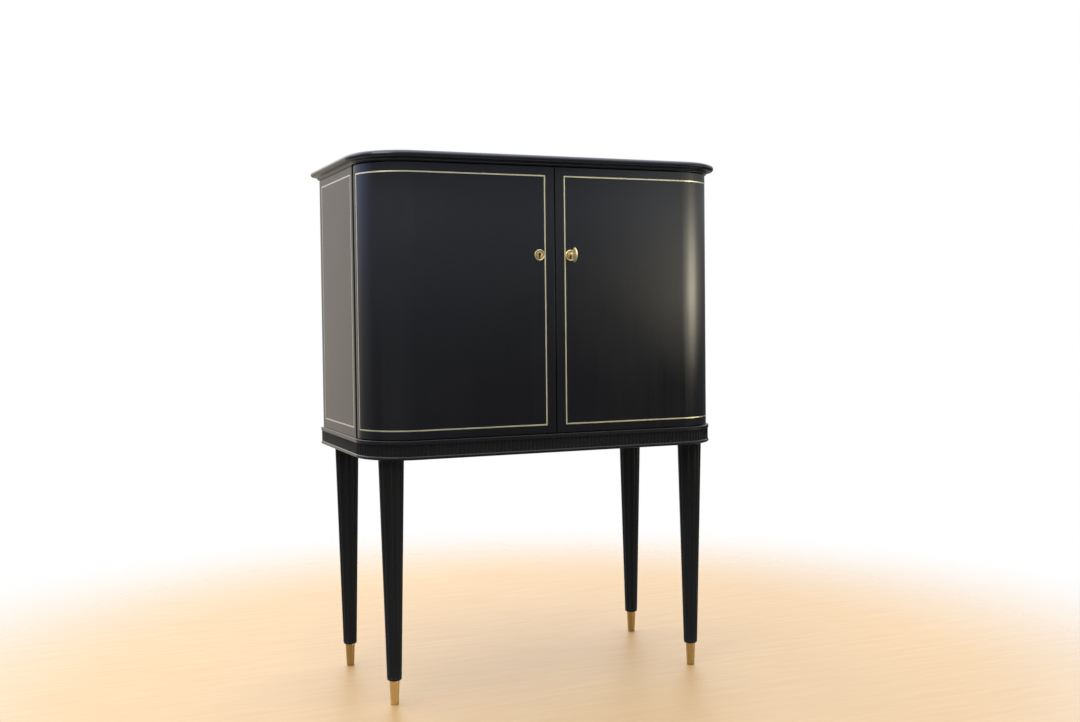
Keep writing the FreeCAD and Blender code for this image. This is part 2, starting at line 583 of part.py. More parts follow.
def back_screw(x, z):
    f = profile_face([('l', (0, 0)), ('l', (3.4, 0)), ('l', (1.7, -1.9)), ('l', (1.7, -22.0)), ('l', (0, -24.0))],
                     lambda p: V(x + p[0], by1 + p[1], z))
    return f.revolve(V(x, by1, z), V(0, 1, 0), 360)


for x in (-380.0, -190.0, 190.0, 380.0):
    back_screws += [back_screw(x, Z_APRON1 + BOARD_T / 2), back_screw(x, Z_CASE1 - BOARD_T / 2)]
for z in (760.0, 1085.0):
    back_screws.append(back_screw(0.0, z))
back = cut(back, back_screws)
bottom = cut(bottom, back_screws)
sub_top = cut(sub_top, back_screws)
divider = cut(divider, back_screws)

# -------------------------------------------------------------------- nodes
put('apron_front_rail', apron_front)
put('apron_back_rail', apron_back)
put('bottom_panel', bottom)
put('sub_top_panel', sub_top)
put('center_divider', divider)
put('back_panel', back)
put('cornice_moulding', cornice)
put('top_panel', top)
put('shelf_pins', all_pins)
put('top_screws', top_screws)
put('base_screws', base_screws)
put('back_screws', back_screws)
put('key', key)

pairs = {
    'apron_corner_%s': [apron_corner],
    'apron_side_rail_%s': [apron_side],
    'leg_block_front_%s': [block_front],
    'leg_block_back_%s': [block_back],
    'side_panel_%s': [side],
    'side_inlay_%s': [side_inlay],
    'shelf_%s': [shelf],
    'door_%s': [door],
    'door_inlay_%s': [door_inlay],
    'escutcheon_%s': [escutcheon],
    'hinge_leaves_door_%s': [door_leaf_low, door_leaf_high],
    'hinge_screws_door_%s': door_screws,
    'lock_plate_%s': [lock_plate],
    'lock_case_%s': [lock_case],
    'lock_bolt_%s': [bolt],
    'lock_screws_%s': lock_screws,
    'strike_plate_%s': [strike],
}
for pattern, shapes in pairs.items():
    put(pattern % 'right', [s.copy() for s in shapes])
    put(pattern % 'left', [mirror_x(s) for s in shapes])
both = lambda shapes: [s.copy() for s in shapes] + [mirror_x(s) for s in shapes]
put('hinge_leaves_case', both([case_leaf_low_cut, case_leaf_high_cut]))
put('hinge_pins', both([pin_low, pin_high]))
put('hinge_washers', both([washer_low]))
put('hinge_screws_case', both(case_screws))
put('strike_screws', both(strike_screws))

for name in sorted(NODES):
    out = []
    for s in NODES[name]:
        c = s.copy()
        c.translate(V(0, -Y_ORIGIN, 0))
        if not c.isValid():
            print('invalid solid in', name)
        out.append(c)
    shape = out[0] if len(out) == 1 else Part.makeCompound(out)
    shape.exportStep('parts/%s.step' % name)
    print('%-28s solids %2d  volume %10.1f cm3' % (name, len(out), sum(s.Volume for s in out) / 1000.0))
print('nodes', len(NODES), 'y origin', Y_ORIGIN)
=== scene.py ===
import json
import math

import bmesh
import bpy
from mathutils import Matrix, Vector


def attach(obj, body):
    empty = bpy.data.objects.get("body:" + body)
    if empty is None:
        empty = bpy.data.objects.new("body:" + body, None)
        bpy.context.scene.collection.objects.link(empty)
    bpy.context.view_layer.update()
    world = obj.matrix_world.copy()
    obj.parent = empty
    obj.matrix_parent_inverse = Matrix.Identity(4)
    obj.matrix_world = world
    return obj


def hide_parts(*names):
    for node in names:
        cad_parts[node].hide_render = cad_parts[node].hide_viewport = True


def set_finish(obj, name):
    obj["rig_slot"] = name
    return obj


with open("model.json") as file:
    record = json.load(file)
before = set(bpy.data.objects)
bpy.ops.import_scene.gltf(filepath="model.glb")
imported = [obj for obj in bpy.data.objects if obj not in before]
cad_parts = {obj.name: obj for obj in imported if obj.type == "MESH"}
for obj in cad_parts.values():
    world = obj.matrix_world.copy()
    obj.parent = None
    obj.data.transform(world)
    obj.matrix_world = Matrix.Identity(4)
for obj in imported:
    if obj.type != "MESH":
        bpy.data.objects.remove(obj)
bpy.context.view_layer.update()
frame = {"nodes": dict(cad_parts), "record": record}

NODES = frame["nodes"]
SCENE = bpy.context.scene

# ---------------------------------------------------------------- dimensions
# Millimetres, in the frame that the cabinet is drawn in: x to the right from
# the gap between the doors, y to the back from the face of the doors, z up.
Y_SHIFT = 212.25
HALF_W, DEPTH, CORNER_R = 450.0, 464.0, 110.0
CX, CY = HALF_W - CORNER_R, CORNER_R
Z_APRON0, Z_APRON1 = 565.5, 609.0
Z_DOOR0, Z_DOOR1, Z_CASE1, Z_CORN1, Z_TOP = 611.0, 1234.0, 1236.0, 1242.5, 1258.5
APRON_OUT, APRON_T, FRONT_RAIL_T = 6.0, 22.0, 34.0
FLUTE_RECESS, FLUTE_R, FLUTE_DEPTH, FLUTE_PITCH = 1.5, 4.55, 2.8, 10.0
Z_FLUTE0, Z_FLUTE1 = 573.5, 600.0
SPLIT_Y = 130.0
DOOR_T, DOOR_GAP, DOOR_END_Y = 20.0, 3.0, 122.3
SIDE_FRONT_Y, SIDE_T, SIDE_ROUND = 127.3, 20.0, 6.0
BACK_Y0 = 454.0
TOP_OUT, CORN_OUT0, CORN_OUT1 = 22.0, 4.0, 12.0
INLAY_W, INLAY_D, INLAY_X, INLAY_MARGIN = 3.0, 1.0, 23.8, 22.5
INLAY_Z0, INLAY_Z1, SIDE_INLAY_Z0, SIDE_INLAY_Z1 = 629.7, 1214.3, 631.0, 1217.8
KEY_X, KEY_Z, KEY_FRONT, ESC_R, ESC_DROP, BOW_DROP = 39.5, 1030.5, -39.5, 13.0, 2.15, 2.2
PIVOT, LEAF_END, LEAF_W, LEAF_T, PIN_R = (444.0, 116.3), (436.0, 79.0), 9.0, 2.5, 2.5
LEG_R0, LEG_R1, LEG_FRONT, LEG_BACK = 16.75, 29.4, (388.0, 58.0), (402.0, 417.0)
Z_FERRULE, FER_R1, FER_R0 = 55.5, 11.75, 9.5
SHELF_Z = 950.0


def place(v):
    return (v[0] / 1000.0, (v[1] - Y_SHIFT) / 1000.0, v[2] / 1000.0)


# ------------------------------------------------------------- mesh building
def arc(cx, cy, r, a0, a1, n):
    """n + 1 points of an arc, angles in degrees."""
    out = []
    for i in range(n + 1):
        a = math.radians(a0 + (a1 - a0) * i / n)
        out.append((cx + r * math.cos(a), cy + r * math.sin(a)))
    return out


def finish_mesh(me, sharp=30.0):
    bm = bmesh.new()
    bm.from_mesh(me)
    bmesh.ops.remove_doubles(bm, verts=bm.verts, dist=2e-6)
    bmesh.ops.dissolve_degenerate(bm, edges=bm.edges, dist=1e-6)
    bmesh.ops.recalc_face_normals(bm, faces=bm.faces)
    lim = math.radians(sharp)
    for f in bm.faces:
        f.smooth = True
    for e in bm.edges:
        e.smooth = not (len(e.link_faces) == 2 and e.calc_face_angle(0.0) > lim)
    bm.to_mesh(me)
    bm.free()
    me.update()


def make(name, verts, faces, mat_ids=None):
    """Mesh object from points in millimetres."""
    me = bpy.data.meshes.new(name)
    me.from_pydata([place(v) for v in verts], [], faces)
    if mat_ids:
        for p, m in zip(me.polygons, mat_ids):
            p.material_index = m
    finish_mesh(me)
    ob = bpy.data.objects.new(name, me)
    SCENE.collection.objects.link(ob)
    return ob


class Shell:
    """Points and faces, put together from lofts."""

    def __init__(self):
        self.v, self.f, self.m = [], [], []

    def loft(self, rings, caps=(True, True), ids=None, closed_end=False):
        """Skin over closed rings with the same number of points. ids gives
        each point of the ring the material number of the face after it."""
        n, base = len(rings[0]), len(self.v)
        for r in rings:
            self.v.extend(r)
        count = len(rings)
        for i in range(count - (0 if closed_end else 1)):
            a, b = base + i * n, base + ((i + 1) % count) * n
            for j in range(n):
                k = (j + 1) % n
                self.f.append((a + j, a + k, b + k, b + j))
                self.m.append(ids[j] if ids else 0)
        if not closed_end:
            if caps[0]:
                self.f.append(tuple(base + j for j in range(n)))
                self.m.append(0)
            if caps[1]:
                self.f.append(tuple(base + (count - 1) * n + j for j in range(n)))
                self.m.append(0)
        return self

    def mirrored(self):
        s = Shell()
        s.v = [(-v[0], v[1], v[2]) for v in self.v]
        s.f = [tuple(reversed(f)) for f in self.f]
        s.m = list(self.m)
        return s

    def obj(self, name):
        return make(name, self.v, self.f, self.m)


def lathe(points, cx, cy, n=96):
    """Closed turned solid about a vertical axis. points are (r, z), from the
    axis at the bottom to the axis at the top."""
    s = Shell()
    rings = []
    for r, z in points:
        rings.append([(cx + r * math.cos(2 * math.pi * j / n), cy + r * math.sin(2 * math.pi * j / n), z) for j in range(n)])
    return s.loft(rings)


def boolean(ob, tools, operation='DIFFERENCE', sharp=30.0):
    """Cuts tools (mesh objects, used up) from ob, or adds them to it."""
    for t in tools:
        md = ob.modifiers.new('cut', 'BOOLEAN')
        md.operation = operation
        md.solver = 'EXACT'
        md.object = t
    bpy.context.view_layer.update()
    dg = bpy.context.evaluated_depsgraph_get()
    me = bpy.data.meshes.new_from_object(ob.evaluated_get(dg))
    old = ob.data
    ob.modifiers.clear()
    ob.data = me
    me.name = old.name
    bpy.data.meshes.remove(old)
    for t in tools:
        data = t.data
        bpy.data.objects.remove(t)
        bpy.data.meshes.remove(data)
    finish_mesh(me, sharp)
    return ob


def prism_tool(points, z0, z1):
    s = Shell()
    s.loft([[(x, y, z0) for x, y in points], [(x, y, z1) for x, y in points]])
    return s.obj('tool')


def outline(d, y_back, n=40):
    """Plan of the case grown by d, from the left back round the front to the
    right back."""
    w, r = HALF_W + d, CORNER_R + d
    left = [(-w, y_back), (-w, y_back - 4.0), (-w, CY + 4.0)]
    right = [(w, CY + 4.0), (w, y_back - 4.0), (w, y_back)]
    front = [(x, -d) for x in (-CX + 4.0, -150.0, 0.0, 150.0, CX - 4.0)]
    return (left + arc(-CX, CY, r, 180, 270, n) + front + arc(CX, CY, r, 270, 360, n) + right)


def slab(name, profile, y_back=DEPTH):
    """Plate with the case's plan and a moulded edge; profile is (d, z)."""
    s = Shell()
    s.loft([[(x, y, z) for x, y in outline(d, y_back)] for d, z in profile])
    return s.obj(name)


def stadium(w):
    px, py = PIVOT
    qx, qy = LEAF_END
    ang = math.degrees(math.atan2(qy - py, qx - px))
    return arc(px, py, w / 2, ang + 90, ang + 270, 16) + arc(qx, qy, w / 2, ang - 90, ang + 90, 16)


def disc(cx, cy, r, n=32):
    return [(cx + r * math.cos(2 * math.pi * i / n), cy + r * math.sin(2 * math.pi * i / n)) for i in range(n)]


def flip(points):
    return [(-x, y) for x, y in points]


def three_arc(p, m, q, n):
    """n points from p to before q on the circle through p, m and q."""
    ax, ay, bx, by, cx, cy = p[0], p[1], m[0], m[1], q[0], q[1]
    d = 2 * (ax * (by - cy) + bx * (cy - ay) + cx * (ay - by))
    ux = ((ax * ax + ay * ay) * (by - cy) + (bx * bx + by * by) * (cy - ay) + (cx * cx + cy * cy) * (ay - by)) / d
    uy = ((ax * ax + ay * ay) * (cx - bx) + (bx * bx + by * by) * (ax - cx) + (cx * cx + cy * cy) * (bx - ax)) / d
    r = math.hypot(ax - ux, ay - uy)
    a0, am, a1 = (math.atan2(v[1] - uy, v[0] - ux) for v in (p, m, q))
    while am < a0:
        am += 2 * math.pi
    while a1 < a0:
        a1 += 2 * math.pi
    if am > a1:
        a1 -= 2 * math.pi
    return [(ux + r * math.cos(a0 + (a1 - a0) * i / n), uy + r * math.sin(a0 + (a1 - a0) * i / n)) for i in range(n)]


# -------------------------------------------------------------------- pieces
PIECES = {}


def piece(ob, body, nodes, slot):
    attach(ob, body)
    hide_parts(*nodes)
    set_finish(ob, slot)
    PIECES[ob.name] = ob
    return ob


# top panel with a full bullnose, a little fuller below
h = (Z_TOP - Z_CORN1) / 2
nose = [(TOP_OUT - h + h * math.sin(math.pi * i / 18), Z_CORN1 + 0.8 * h - (0.8 if i < 9 else 1.2) * h * math.cos(math.pi * i / 18)) for i in range(19)]
top = slab('top', [(TOP_OUT - h - 5, Z_CORN1)] + nose + [(TOP_OUT - h - 5, Z_TOP)])
piece(top, 'case', ['top_panel'], 'black_lacquer')

# cornice with a cove
c_z0, c_z1 = Z_CASE1 + 0.8, Z_CORN1 - 0.5
cove = [(CORN_OUT0 + (CORN_OUT1 - CORN_OUT0) * (1 - math.cos(math.pi / 2 * i / 10)),
         c_z0 + (c_z1 - c_z0) * math.sin(math.pi / 2 * i / 10)) for i in range(11)]
cornice = slab('cornice', [(CORN_OUT0 - 4, Z_CASE1), (CORN_OUT0 - 0.4, Z_CASE1), (CORN_OUT0 - 0.1, Z_CASE1 + 0.1),
                           (CORN_OUT0, Z_CASE1 + 0.4)] + cove + [(CORN_OUT1, Z_CORN1), (CORN_OUT1 - 4, Z_CORN1)])
boolean(cornice, [prism_tool(stadium(LEAF_W), Z_CASE1 - 1, Z_CASE1 + LEAF_T),
                  prism_tool(flip(stadium(LEAF_W)), Z_CASE1 - 1, Z_CASE1 + LEAF_T)])
piece(cornice, 'case', ['cornice_moulding'], 'black_lacquer')


# base frame: moulded rails with a band of small hollow flutes
D_F = APRON_OUT - FLUTE_RECESS
IN = APRON_OUT - APRON_T
HALF_FL = math.sqrt(FLUTE_R ** 2 - (FLUTE_R - FLUTE_DEPTH) ** 2)
FL_U = [-1.12, -1.02, -0.98, -0.92, -0.82, -0.66, -0.46, -0.24, 0.0, 0.24, 0.46, 0.66, 0.82, 0.92, 0.98, 1.02, 1.12]
BEAD = three_arc((APRON_OUT - 3.2, Z_APRON0), (APRON_OUT + 0.4, Z_APRON0 + 3.9), (D_F, Z_FLUTE0), 11)


def flute_depth(u):
    """Depth across a flute; its arrises are a little rounded."""
    if abs(u) > 1.1:
        return 0.0
    if abs(u) > 1.0:
        return 0.06
    s = u * HALF_FL
    return max(0.06, math.sqrt(FLUTE_R ** 2 - s * s) - (FLUTE_R - FLUTE_DEPTH))


def apron_ring(base, normal, g, inside):
    """Section of the base frame at one place of its run; g is how deep the
    flute is there."""
    e, r = 0.5, 1.6
    round_top = [(APRON_OUT - r + r * math.cos(math.pi / 2 * i / 6), Z_APRON1 - r + r * math.sin(math.pi / 2 * i / 6)) for i in range(7)]
    lip = min(g, 0.45)
    prof = [(inside, Z_APRON0), (APRON_OUT - 5.0, Z_APRON0)] + BEAD
    prof += [(D_F, Z_FLUTE0), (D_F - 0.6 * lip, Z_FLUTE0 + 0.05 * lip), (D_F - g, Z_FLUTE0 + lip), (D_F - g, Z_FLUTE1 - lip),
             (D_F - 0.6 * lip, Z_FLUTE1), (D_F, Z_FLUTE1), (APRON_OUT - e, Z_FLUTE1), (APRON_OUT - e * 0.3, Z_FLUTE1 + e * 0.3),
             (APRON_OUT, Z_FLUTE1 + e), (APRON_OUT, Z_FLUTE1 + e + 0.15), (APRON_OUT, Z_APRON1 - r - 0.15)]
    prof += round_top + [(APRON_OUT - 5.0, Z_APRON1), (inside, Z_APRON1)]
    return [(base[0] + normal[0] * d, base[1] + normal[1] * d, z) for d, z in prof]


def stations_line(p0, p1, normal, centres, inside=IN):
    """Sections along a straight run; centres are distances of the flutes."""
    L = math.hypot(p1[0] - p0[0], p1[1] - p0[1])
    t = ((p1[0] - p0[0]) / L, (p1[1] - p0[1]) / L)
    places = [(0.0, 0.0), (L, 0.0)] + [(c + u * HALF_FL, flute_depth(u)) for c in centres for u in FL_U]
    places.sort()
    return [apron_ring((p0[0] + t[0] * s, p0[1] + t[1] * s), normal, g, inside) for s, g in places]


def stations_arc(centres_deg):
    """Sections round the right front corner, from the front to the side."""
    places = [(0.0, 0.0), (90.0, 0.0)]
    for c in centres_deg:
        for u in FL_U:
            a = c + math.degrees(u * HALF_FL / (CORNER_R + D_F))
            places.append((a, flute_depth(u)))
    places.sort()
    out = []
    for a, g in places:
        r = math.radians(a)
        nrm = (math.sin(r), -math.cos(r))
        out.append(apron_ring((CX + CORNER_R * nrm[0], CY + CORNER_R * nrm[1]), nrm, g, IN))
    return out


front = Shell().loft(stations_line((-CX, 0), (CX, 0), (0, -1), [FLUTE_PITCH * (i + 0.5) for i in range(68)],
                                   APRON_OUT - FRONT_RAIL_T)).obj('base_rail_front')
piece(front, 'case', ['apron_front_rail'], 'black_lacquer')
side_c = []
y = CY + FLUTE_PITCH / 2
while y < DEPTH - 8:
    side_c.append(y)
    y += FLUTE_PITCH
corner_r = stations_arc([2.5 + 5.0 * i for i in range(18)])
corner_r += stations_line((HALF_W, CY), (HALF_W, SPLIT_Y), (1, 0), [c - CY for c in side_c if c < SPLIT_Y])[1:]
side_r = stations_line((HALF_W, SPLIT_Y), (HALF_W, DEPTH), (1, 0), [c - SPLIT_Y for c in side_c if c > SPLIT_Y])
for side, sx in (('right', 1), ('left', -1)):
    c, s = Shell().loft(corner_r), Shell().loft(side_r)
    if sx < 0:
        c, s = c.mirrored(), s.mirrored()
    c, s = c.obj('base_corner_' + side), s.obj('base_rail_' + side)
    leaf = stadium(LEAF_W)
    boolean(c, [prism_tool(leaf if sx > 0 else flip(leaf), Z_APRON1 - LEAF_T, Z_APRON1 + 1)])
    piece(c, 'case', ['apron_corner_' + side], 'black_lacquer')
    piece(s, 'case', ['apron_side_rail_' + side], 'black_lacquer')

# legs: tapered, with twelve hollow flutes that end round
slope = (LEG_R1 - LEG_R0) / (Z_APRON0 - Z_FERRULE)
FL_R = 0.285
FL_C = 1.0 + FL_R - 0.085
N_FL, PER = 12, 20
z_a, z_b = Z_FERRULE + 9.0, Z_APRON0 - 8.0


def leg_r(z):
    return LEG_R0 + (z - Z_FERRULE) * slope


def leg_section(z, r_edge):
    """Section at height z. r_edge is the plain radius there."""
    r = leg_r(z)
    rho = FL_R * r
    if z < z_a:
        ra = FL_R * leg_r(z_a)
        rho = math.sqrt(max(0.0, ra * ra - (z_a - z) ** 2))
    elif z > z_b:
        rb = FL_R * leg_r(z_b)
        rho = math.sqrt(max(0.0, rb * rb - (z - z_b) ** 2))
    cc = FL_C * r
    # half angle at which the flute meets the leg's own surface
    cosv = (cc * cc + r * r - rho * rho) / (2 * cc * r)
    half = math.acos(max(-1.0, min(1.0, cosv))) if cosv < 1.0 else 0.0
    out = []
    for k in range(N_FL):
        mid = math.radians(7.5 + 30.0 * k)
        lo = mid - math.radians(15.0)
        for j in range(PER):
            # the points crowd at the arrises, and stay there on plain rings
            edge = math.asin(min(1.0, 0.2475 / FL_C)) if half < 1e-6 else half
            u = -1.0 + 2.0 * j / PER
            if u < -0.8:
                a = -math.radians(15.0) + (u + 1.0) / 0.2 * (math.radians(15.0) - edge)
            elif u > 0.8:
                a = edge + (u - 0.8) / 0.2 * (math.radians(15.0) - edge)
            else:
                a = edge * math.sin(u / 0.8 * math.pi / 2)
            q = rho * rho - (cc * math.sin(a)) ** 2
            rr = r_edge
            if half > 1e-6 and q > 0 and abs(a) < half:
                rr = min(r_edge, cc * math.cos(a) - math.sqrt(q))
            out.append((rr * math.cos(mid + a), rr * math.sin(mid + a)))
    return out


def leg(name, px, py, sx):
    n = N_FL * PER
    plain = lambda r, z: [(r * math.cos(math.radians(-7.5) + 2 * math.pi * j / n),
                           r * math.sin(math.radians(-7.5) + 2 * math.pi * j / n), z) for j in range(n)]
    rings = [plain(6.5, 20.0), plain(7.6, 20.3), plain(8.0, 21.2), plain(8.0, Z_FERRULE)]
    rb = 4.0
    for i in range(7):
        a = math.pi / 2 * i / 6
        z = Z_FERRULE + rb * (1 - math.cos(a))
        rings.append([(x, y0, z) for x, y0 in leg_section(z, leg_r(z) - rb * (1 - math.sin(a)))])
    zs = [z_a - FL_R * leg_r(z_a) * math.cos(math.pi / 2 * i / 6) * 0.999 for i in range(7)]
    zs = [z for z in zs if z > Z_FERRULE + rb + 0.2]
    zs += [z_a + (z_b - z_a) * i / 24 for i in range(1, 25)]
    zs += [z_b + FL_R * leg_r(z_b) * math.sin(math.pi / 2 * i / 8) * 0.999 for i in range(1, 9)]
    zs = [z for z in zs if z < Z_APRON0 - 0.3] + [Z_APRON0]
    for z in zs:
        rings.append([(x, y0, z) for x, y0 in leg_section(z, leg_r(z))])
    rings += [plain(14.0, Z_APRON0), plain(14.0, Z_APRON0 + 36.5), plain(13.0, Z_APRON0 + 38.0)]
    # the left legs are mirror images of the right ones
    s = Shell().loft([[(sx * (px + x), py + y0, z) for x, y0, z in r] for r in rings])
    return s.obj(name)


for side, sx in (('right', 1), ('left', -1)):
    for end, (px, py) in (('front', LEG_FRONT), ('back', LEG_BACK)):
        ob = leg('leg_turned_%s_%s' % (end, side), px, py, sx)
        piece(ob, 'case', ['leg_%s_%s' % (end, side)], 'black_lacquer')
        prof = [(0.02, 0.0), (FER_R0 - 1.6, 0.0), (FER_R0 - 1.0, 0.0)]
        prof += [(FER_R0 - 1.0 + math.sin(math.radians(t)), 1.0 - math.cos(math.radians(t))) for t in (30, 60, 90)]
        prof += [(FER_R0 + (FER_R1 - FER_R0) * t, 1.0 + (Z_FERRULE - 1.9) * t) for t in (0.08, 0.5, 0.92, 1.0)]
        prof += [(FER_R1 - 0.12, Z_FERRULE - 0.45), (FER_R1 - 0.35, Z_FERRULE - 0.15), (FER_R1 - 0.65, Z_FERRULE),
                 (9.5, Z_FERRULE), (8.02, Z_FERRULE), (8.02, 20.0), (0.02, 20.0)]
        fe = lathe(prof, sx * px, py).obj('ferrule_turned_%s_%s' % (end, side))
        piece(fe, 'case', ['ferrule_%s_%s' % (end, side)], 'ferrule_brass')


# doors: flat front that bends round the corner, with eased edges
def along(s, t):
    """Point on the right door, s along its face from the middle, t deep."""
    turn = CORNER_R * math.pi / 2
    if s <= CX:
        return (s, t)
    if s <= CX + turn:
        a = (s - CX) / CORNER_R
        return (CX + (CORNER_R - t) * math.sin(a), CY - (CORNER_R - t) * math.cos(a))
    return (HALF_W - t, CY + (s - CX - turn))


def door_plan(i):
    """Plan of the right door, drawn in by i all round; second list marks the inside face with 1 and the two upright
    edges with 2, which get painted shade."""
    g, e, q, k = DOOR_GAP / 2, max(0.4, i + 0.03), 6.5, 0.9
    xi = HALF_W - DOOR_T
    pts, ids = [], []

    def add(new, m):
        pts.extend(new)
        ids.extend([m] * len(new))

    add(arc(g + e, e, e - i, 180, 270, 6), 0)
    add([(x, i) for x in (g + e + 0.1, 6.0, 20.0, 90.0, 170.0, 250.0, 320.0, CX - 4)], 0)
    add(arc(CX, CY, CORNER_R - i, 270, 360, 60), 0)
    add([(HALF_W - i, CY + 4.0), (HALF_W - i, DOOR_END_Y - q - 0.15)], 0)
    add(arc(HALF_W - q, DOOR_END_Y - q, q - i, 0, 90, 8), 2)
    add([(HALF_W - 8.0, DOOR_END_Y - i)], 2)
    add(arc(xi + k, DOOR_END_Y - k, k - i, 90, 180, 4), 2)
    ids[-1] = 1
    add([(xi + i, CY + 4.0)], 1)
    add(arc(CX, CY, CORNER_R - DOOR_T + i, 360, 270, 48), 1)
    add([(x, DOOR_T - i) for x in (CX - 4, 320.0, 250.0, 170.0, 90.0, 20.0)], 1)
    add(arc(g + k, DOOR_T - k, k - i, 90, 180, 4), 2)
    ids[0] = ids[1] = ids[2] = 2
    return pts, ids


def inlay_loop(surface, s0, s1, z0, z1, steps, lift=0.0, deep=INLAY_D):
    """Closed rectangular line let into a surface; its face is a little
    crowned. lift raises the face, for cutting the groove."""
    w = INLAY_W
    if lift:
        sect = [(0.0, deep), (0.0, -lift), (w, -lift), (w, deep)]
    else:
        sect = [(0.0, deep), (0.0, 0.06), (0.08, 0.0), (0.3, -0.012), (1.5, -0.02), (w - 0.3, -0.012), (w - 0.08, 0.0), (w, 0.06), (w, deep)]
    up = [0.0, 0.02, 0.25, 0.5, 0.75, 0.98]
    stations = [(f, 0.0) for f in steps[:-1]] + [(1.0, f) for f in up]
    stations += [(f, 1.0) for f in reversed(steps[1:])] + [(0.0, 1.0 - f) for f in up]
    rings = []
    for fs, fz in stations:
        ring = []
        for u, t in sect:
            s = s0 + u + (s1 - s0 - 2 * u) * fs
            z = z0 + u + (z1 - z0 - 2 * u) * fz
            x, y0 = surface(s, t)
            ring.append((x, y0, z))
        rings.append(ring)
    return Shell().loft(rings, closed_end=True)


turn = CORNER_R * math.pi / 2
s_end = CX + turn + (DOOR_END_Y - CY) - INLAY_MARGIN
steps = sorted(set([0.0, 0.25, 0.5, (CX - INLAY_X) / (s_end - INLAY_X), 1.0]
                   + [(CX + turn * k / 60.0 - INLAY_X) / (s_end - INLAY_X) for k in range(1, 58)]))
steps = [f for f in steps if 0.0 <= f <= 1.0]


def keyhole(r, half, drop, y0, y1):
    """Keyhole prism along y at the right door's lock."""
    a = math.degrees(math.asin(half / r))
    pts = arc(0, 0, r, -90 + a, 270 - a, 28) + [(-half, -drop + half * 0.6), (-half * 0.6, -drop), (half * 0.6, -drop), (half, -drop + half * 0.6)]
    s = Shell()
    s.loft([[(KEY_X + x, y0, KEY_Z + z) for x, z in pts], [(KEY_X + x, y1, KEY_Z + z) for x, z in pts]])
    return s


ease = 0.7
door_rings, ids = [], None
for z, i in ((Z_DOOR0, ease), (Z_DOOR0 + 0.29 * ease, 0.29 * ease), (Z_DOOR0 + ease, 0.0), (Z_DOOR0 + ease + 0.15, 0.0), (Z_DOOR0 + 4, 0.0),
             (780.0, 0.0), (930.0, 0.0), (1080.0, 0.0), (Z_DOOR1 - 4, 0.0), (Z_DOOR1 - ease - 0.15, 0.0), (Z_DOOR1 - ease, 0.0),
             (Z_DOOR1 - 0.29 * ease, 0.29 * ease), (Z_DOOR1, ease)):
    pts, ids = door_plan(i)
    door_rings.append([(x, y0, z) for x, y0 in pts])
for side, sx in (('right', 1), ('left', -1)):
    body = side + '_door'
    shells = [Shell().loft(door_rings, ids=ids),
              inlay_loop(along, INLAY_X, s_end, INLAY_Z0, INLAY_Z1, steps, lift=2.0),
              keyhole(4.0, 2.2, 11.5, -5, DOOR_T + 5),
              inlay_loop(along, INLAY_X, s_end, INLAY_Z0, INLAY_Z1, steps)]
    if sx < 0:
        shells = [s.mirrored() for s in shells]
    door = shells[0].obj('door_panel_' + side)
    tools = [shells[1].obj('groove'), shells[2].obj('hole')]
    leaf, pin = stadium(LEAF_W), disc(PIVOT[0], PIVOT[1], PIN_R + 0.4)
    if sx < 0:
        leaf, pin = flip(leaf), flip(pin)
    tools += [prism_tool(leaf, Z_DOOR0 - 1, Z_DOOR0 + LEAF_T), prism_tool(leaf, Z_DOOR1 - LEAF_T, Z_DOOR1 + 1),
              prism_tool(pin, Z_DOOR0 - 1, Z_DOOR0 + 7.6), prism_tool(pin, Z_DOOR1 - 7.6, Z_DOOR1 + 1)]
    boolean(door, tools)
    piece(door, body, ['door_' + side], 'black_lacquer')
    line = shells[3].obj('door_line_' + side)
    piece(line, body, ['door_inlay_' + side], 'inlay_brass')

# side panels
k = 1.0
side_plan = ([(HALF_W - SIDE_T, SIDE_FRONT_Y), (HALF_W - 12.0, SIDE_FRONT_Y)]
             + arc(HALF_W - SIDE_ROUND, SIDE_FRONT_Y + SIDE_ROUND, SIDE_ROUND, 270, 360, 12)
             + [(HALF_W, SIDE_FRONT_Y + SIDE_ROUND + 0.15), (HALF_W, SIDE_FRONT_Y + 10.0), (HALF_W, 300.0), (HALF_W, DEPTH - 4.0)]
             + arc(HALF_W - k, DEPTH - k, k, 0, 90, 4)
             + [(HALF_W - 10, DEPTH), (HALF_W - 10, BACK_Y0), (HALF_W - SIDE_T, BACK_Y0)])
# the front rounding takes the painted-shade lacquer of the seam by the door
side_ids = [2] * 14 + [0] * (len(side_plan) - 15) + [1]
flat = lambda s, t: (HALF_W - t, s)
iy0, iy1 = SIDE_FRONT_Y + 20.5, DEPTH - 23.0
for side, sx in (('right', 1), ('left', -1)):
    shells = [Shell().loft([[(x, y0, z) for x, y0 in side_plan] for z in (Z_APRON1, Z_APRON1 + 8, 780.0, 930.0, 1080.0, Z_CASE1 - 8, Z_CASE1)], ids=side_ids),
              inlay_loop(flat, iy0, iy1, SIDE_INLAY_Z0, SIDE_INLAY_Z1, [0, 0.5, 1], lift=2.0),
              inlay_loop(flat, iy0, iy1, SIDE_INLAY_Z0, SIDE_INLAY_Z1, [0, 0.02, 0.5, 0.98, 1])]
    holes = Shell()
    for py in (180.0, 400.0):
        ring = [(py + 2.5 * math.cos(2 * math.pi * j / 24), SHELF_Z - 2.52 + 2.5 * math.sin(2 * math.pi * j / 24)) for j in range(24)]
        holes.loft([[(HALF_W - SIDE_T - 3, a, b) for a, b in ring], [(HALF_W - SIDE_T + 9, a, b) for a, b in ring]])
    shells.append(holes)
    if sx < 0:
        shells = [s.mirrored() for s in shells]
    panel = shells[0].obj('side_board_' + side)
    boolean(panel, [shells[1].obj('groove'), shells[3].obj('holes')])
    piece(panel, 'case', ['side_panel_' + side], 'black_lacquer')
    line = shells[2].obj('side_line_' + side)
    piece(line, 'case', ['side_inlay_' + side], 'inlay_brass')


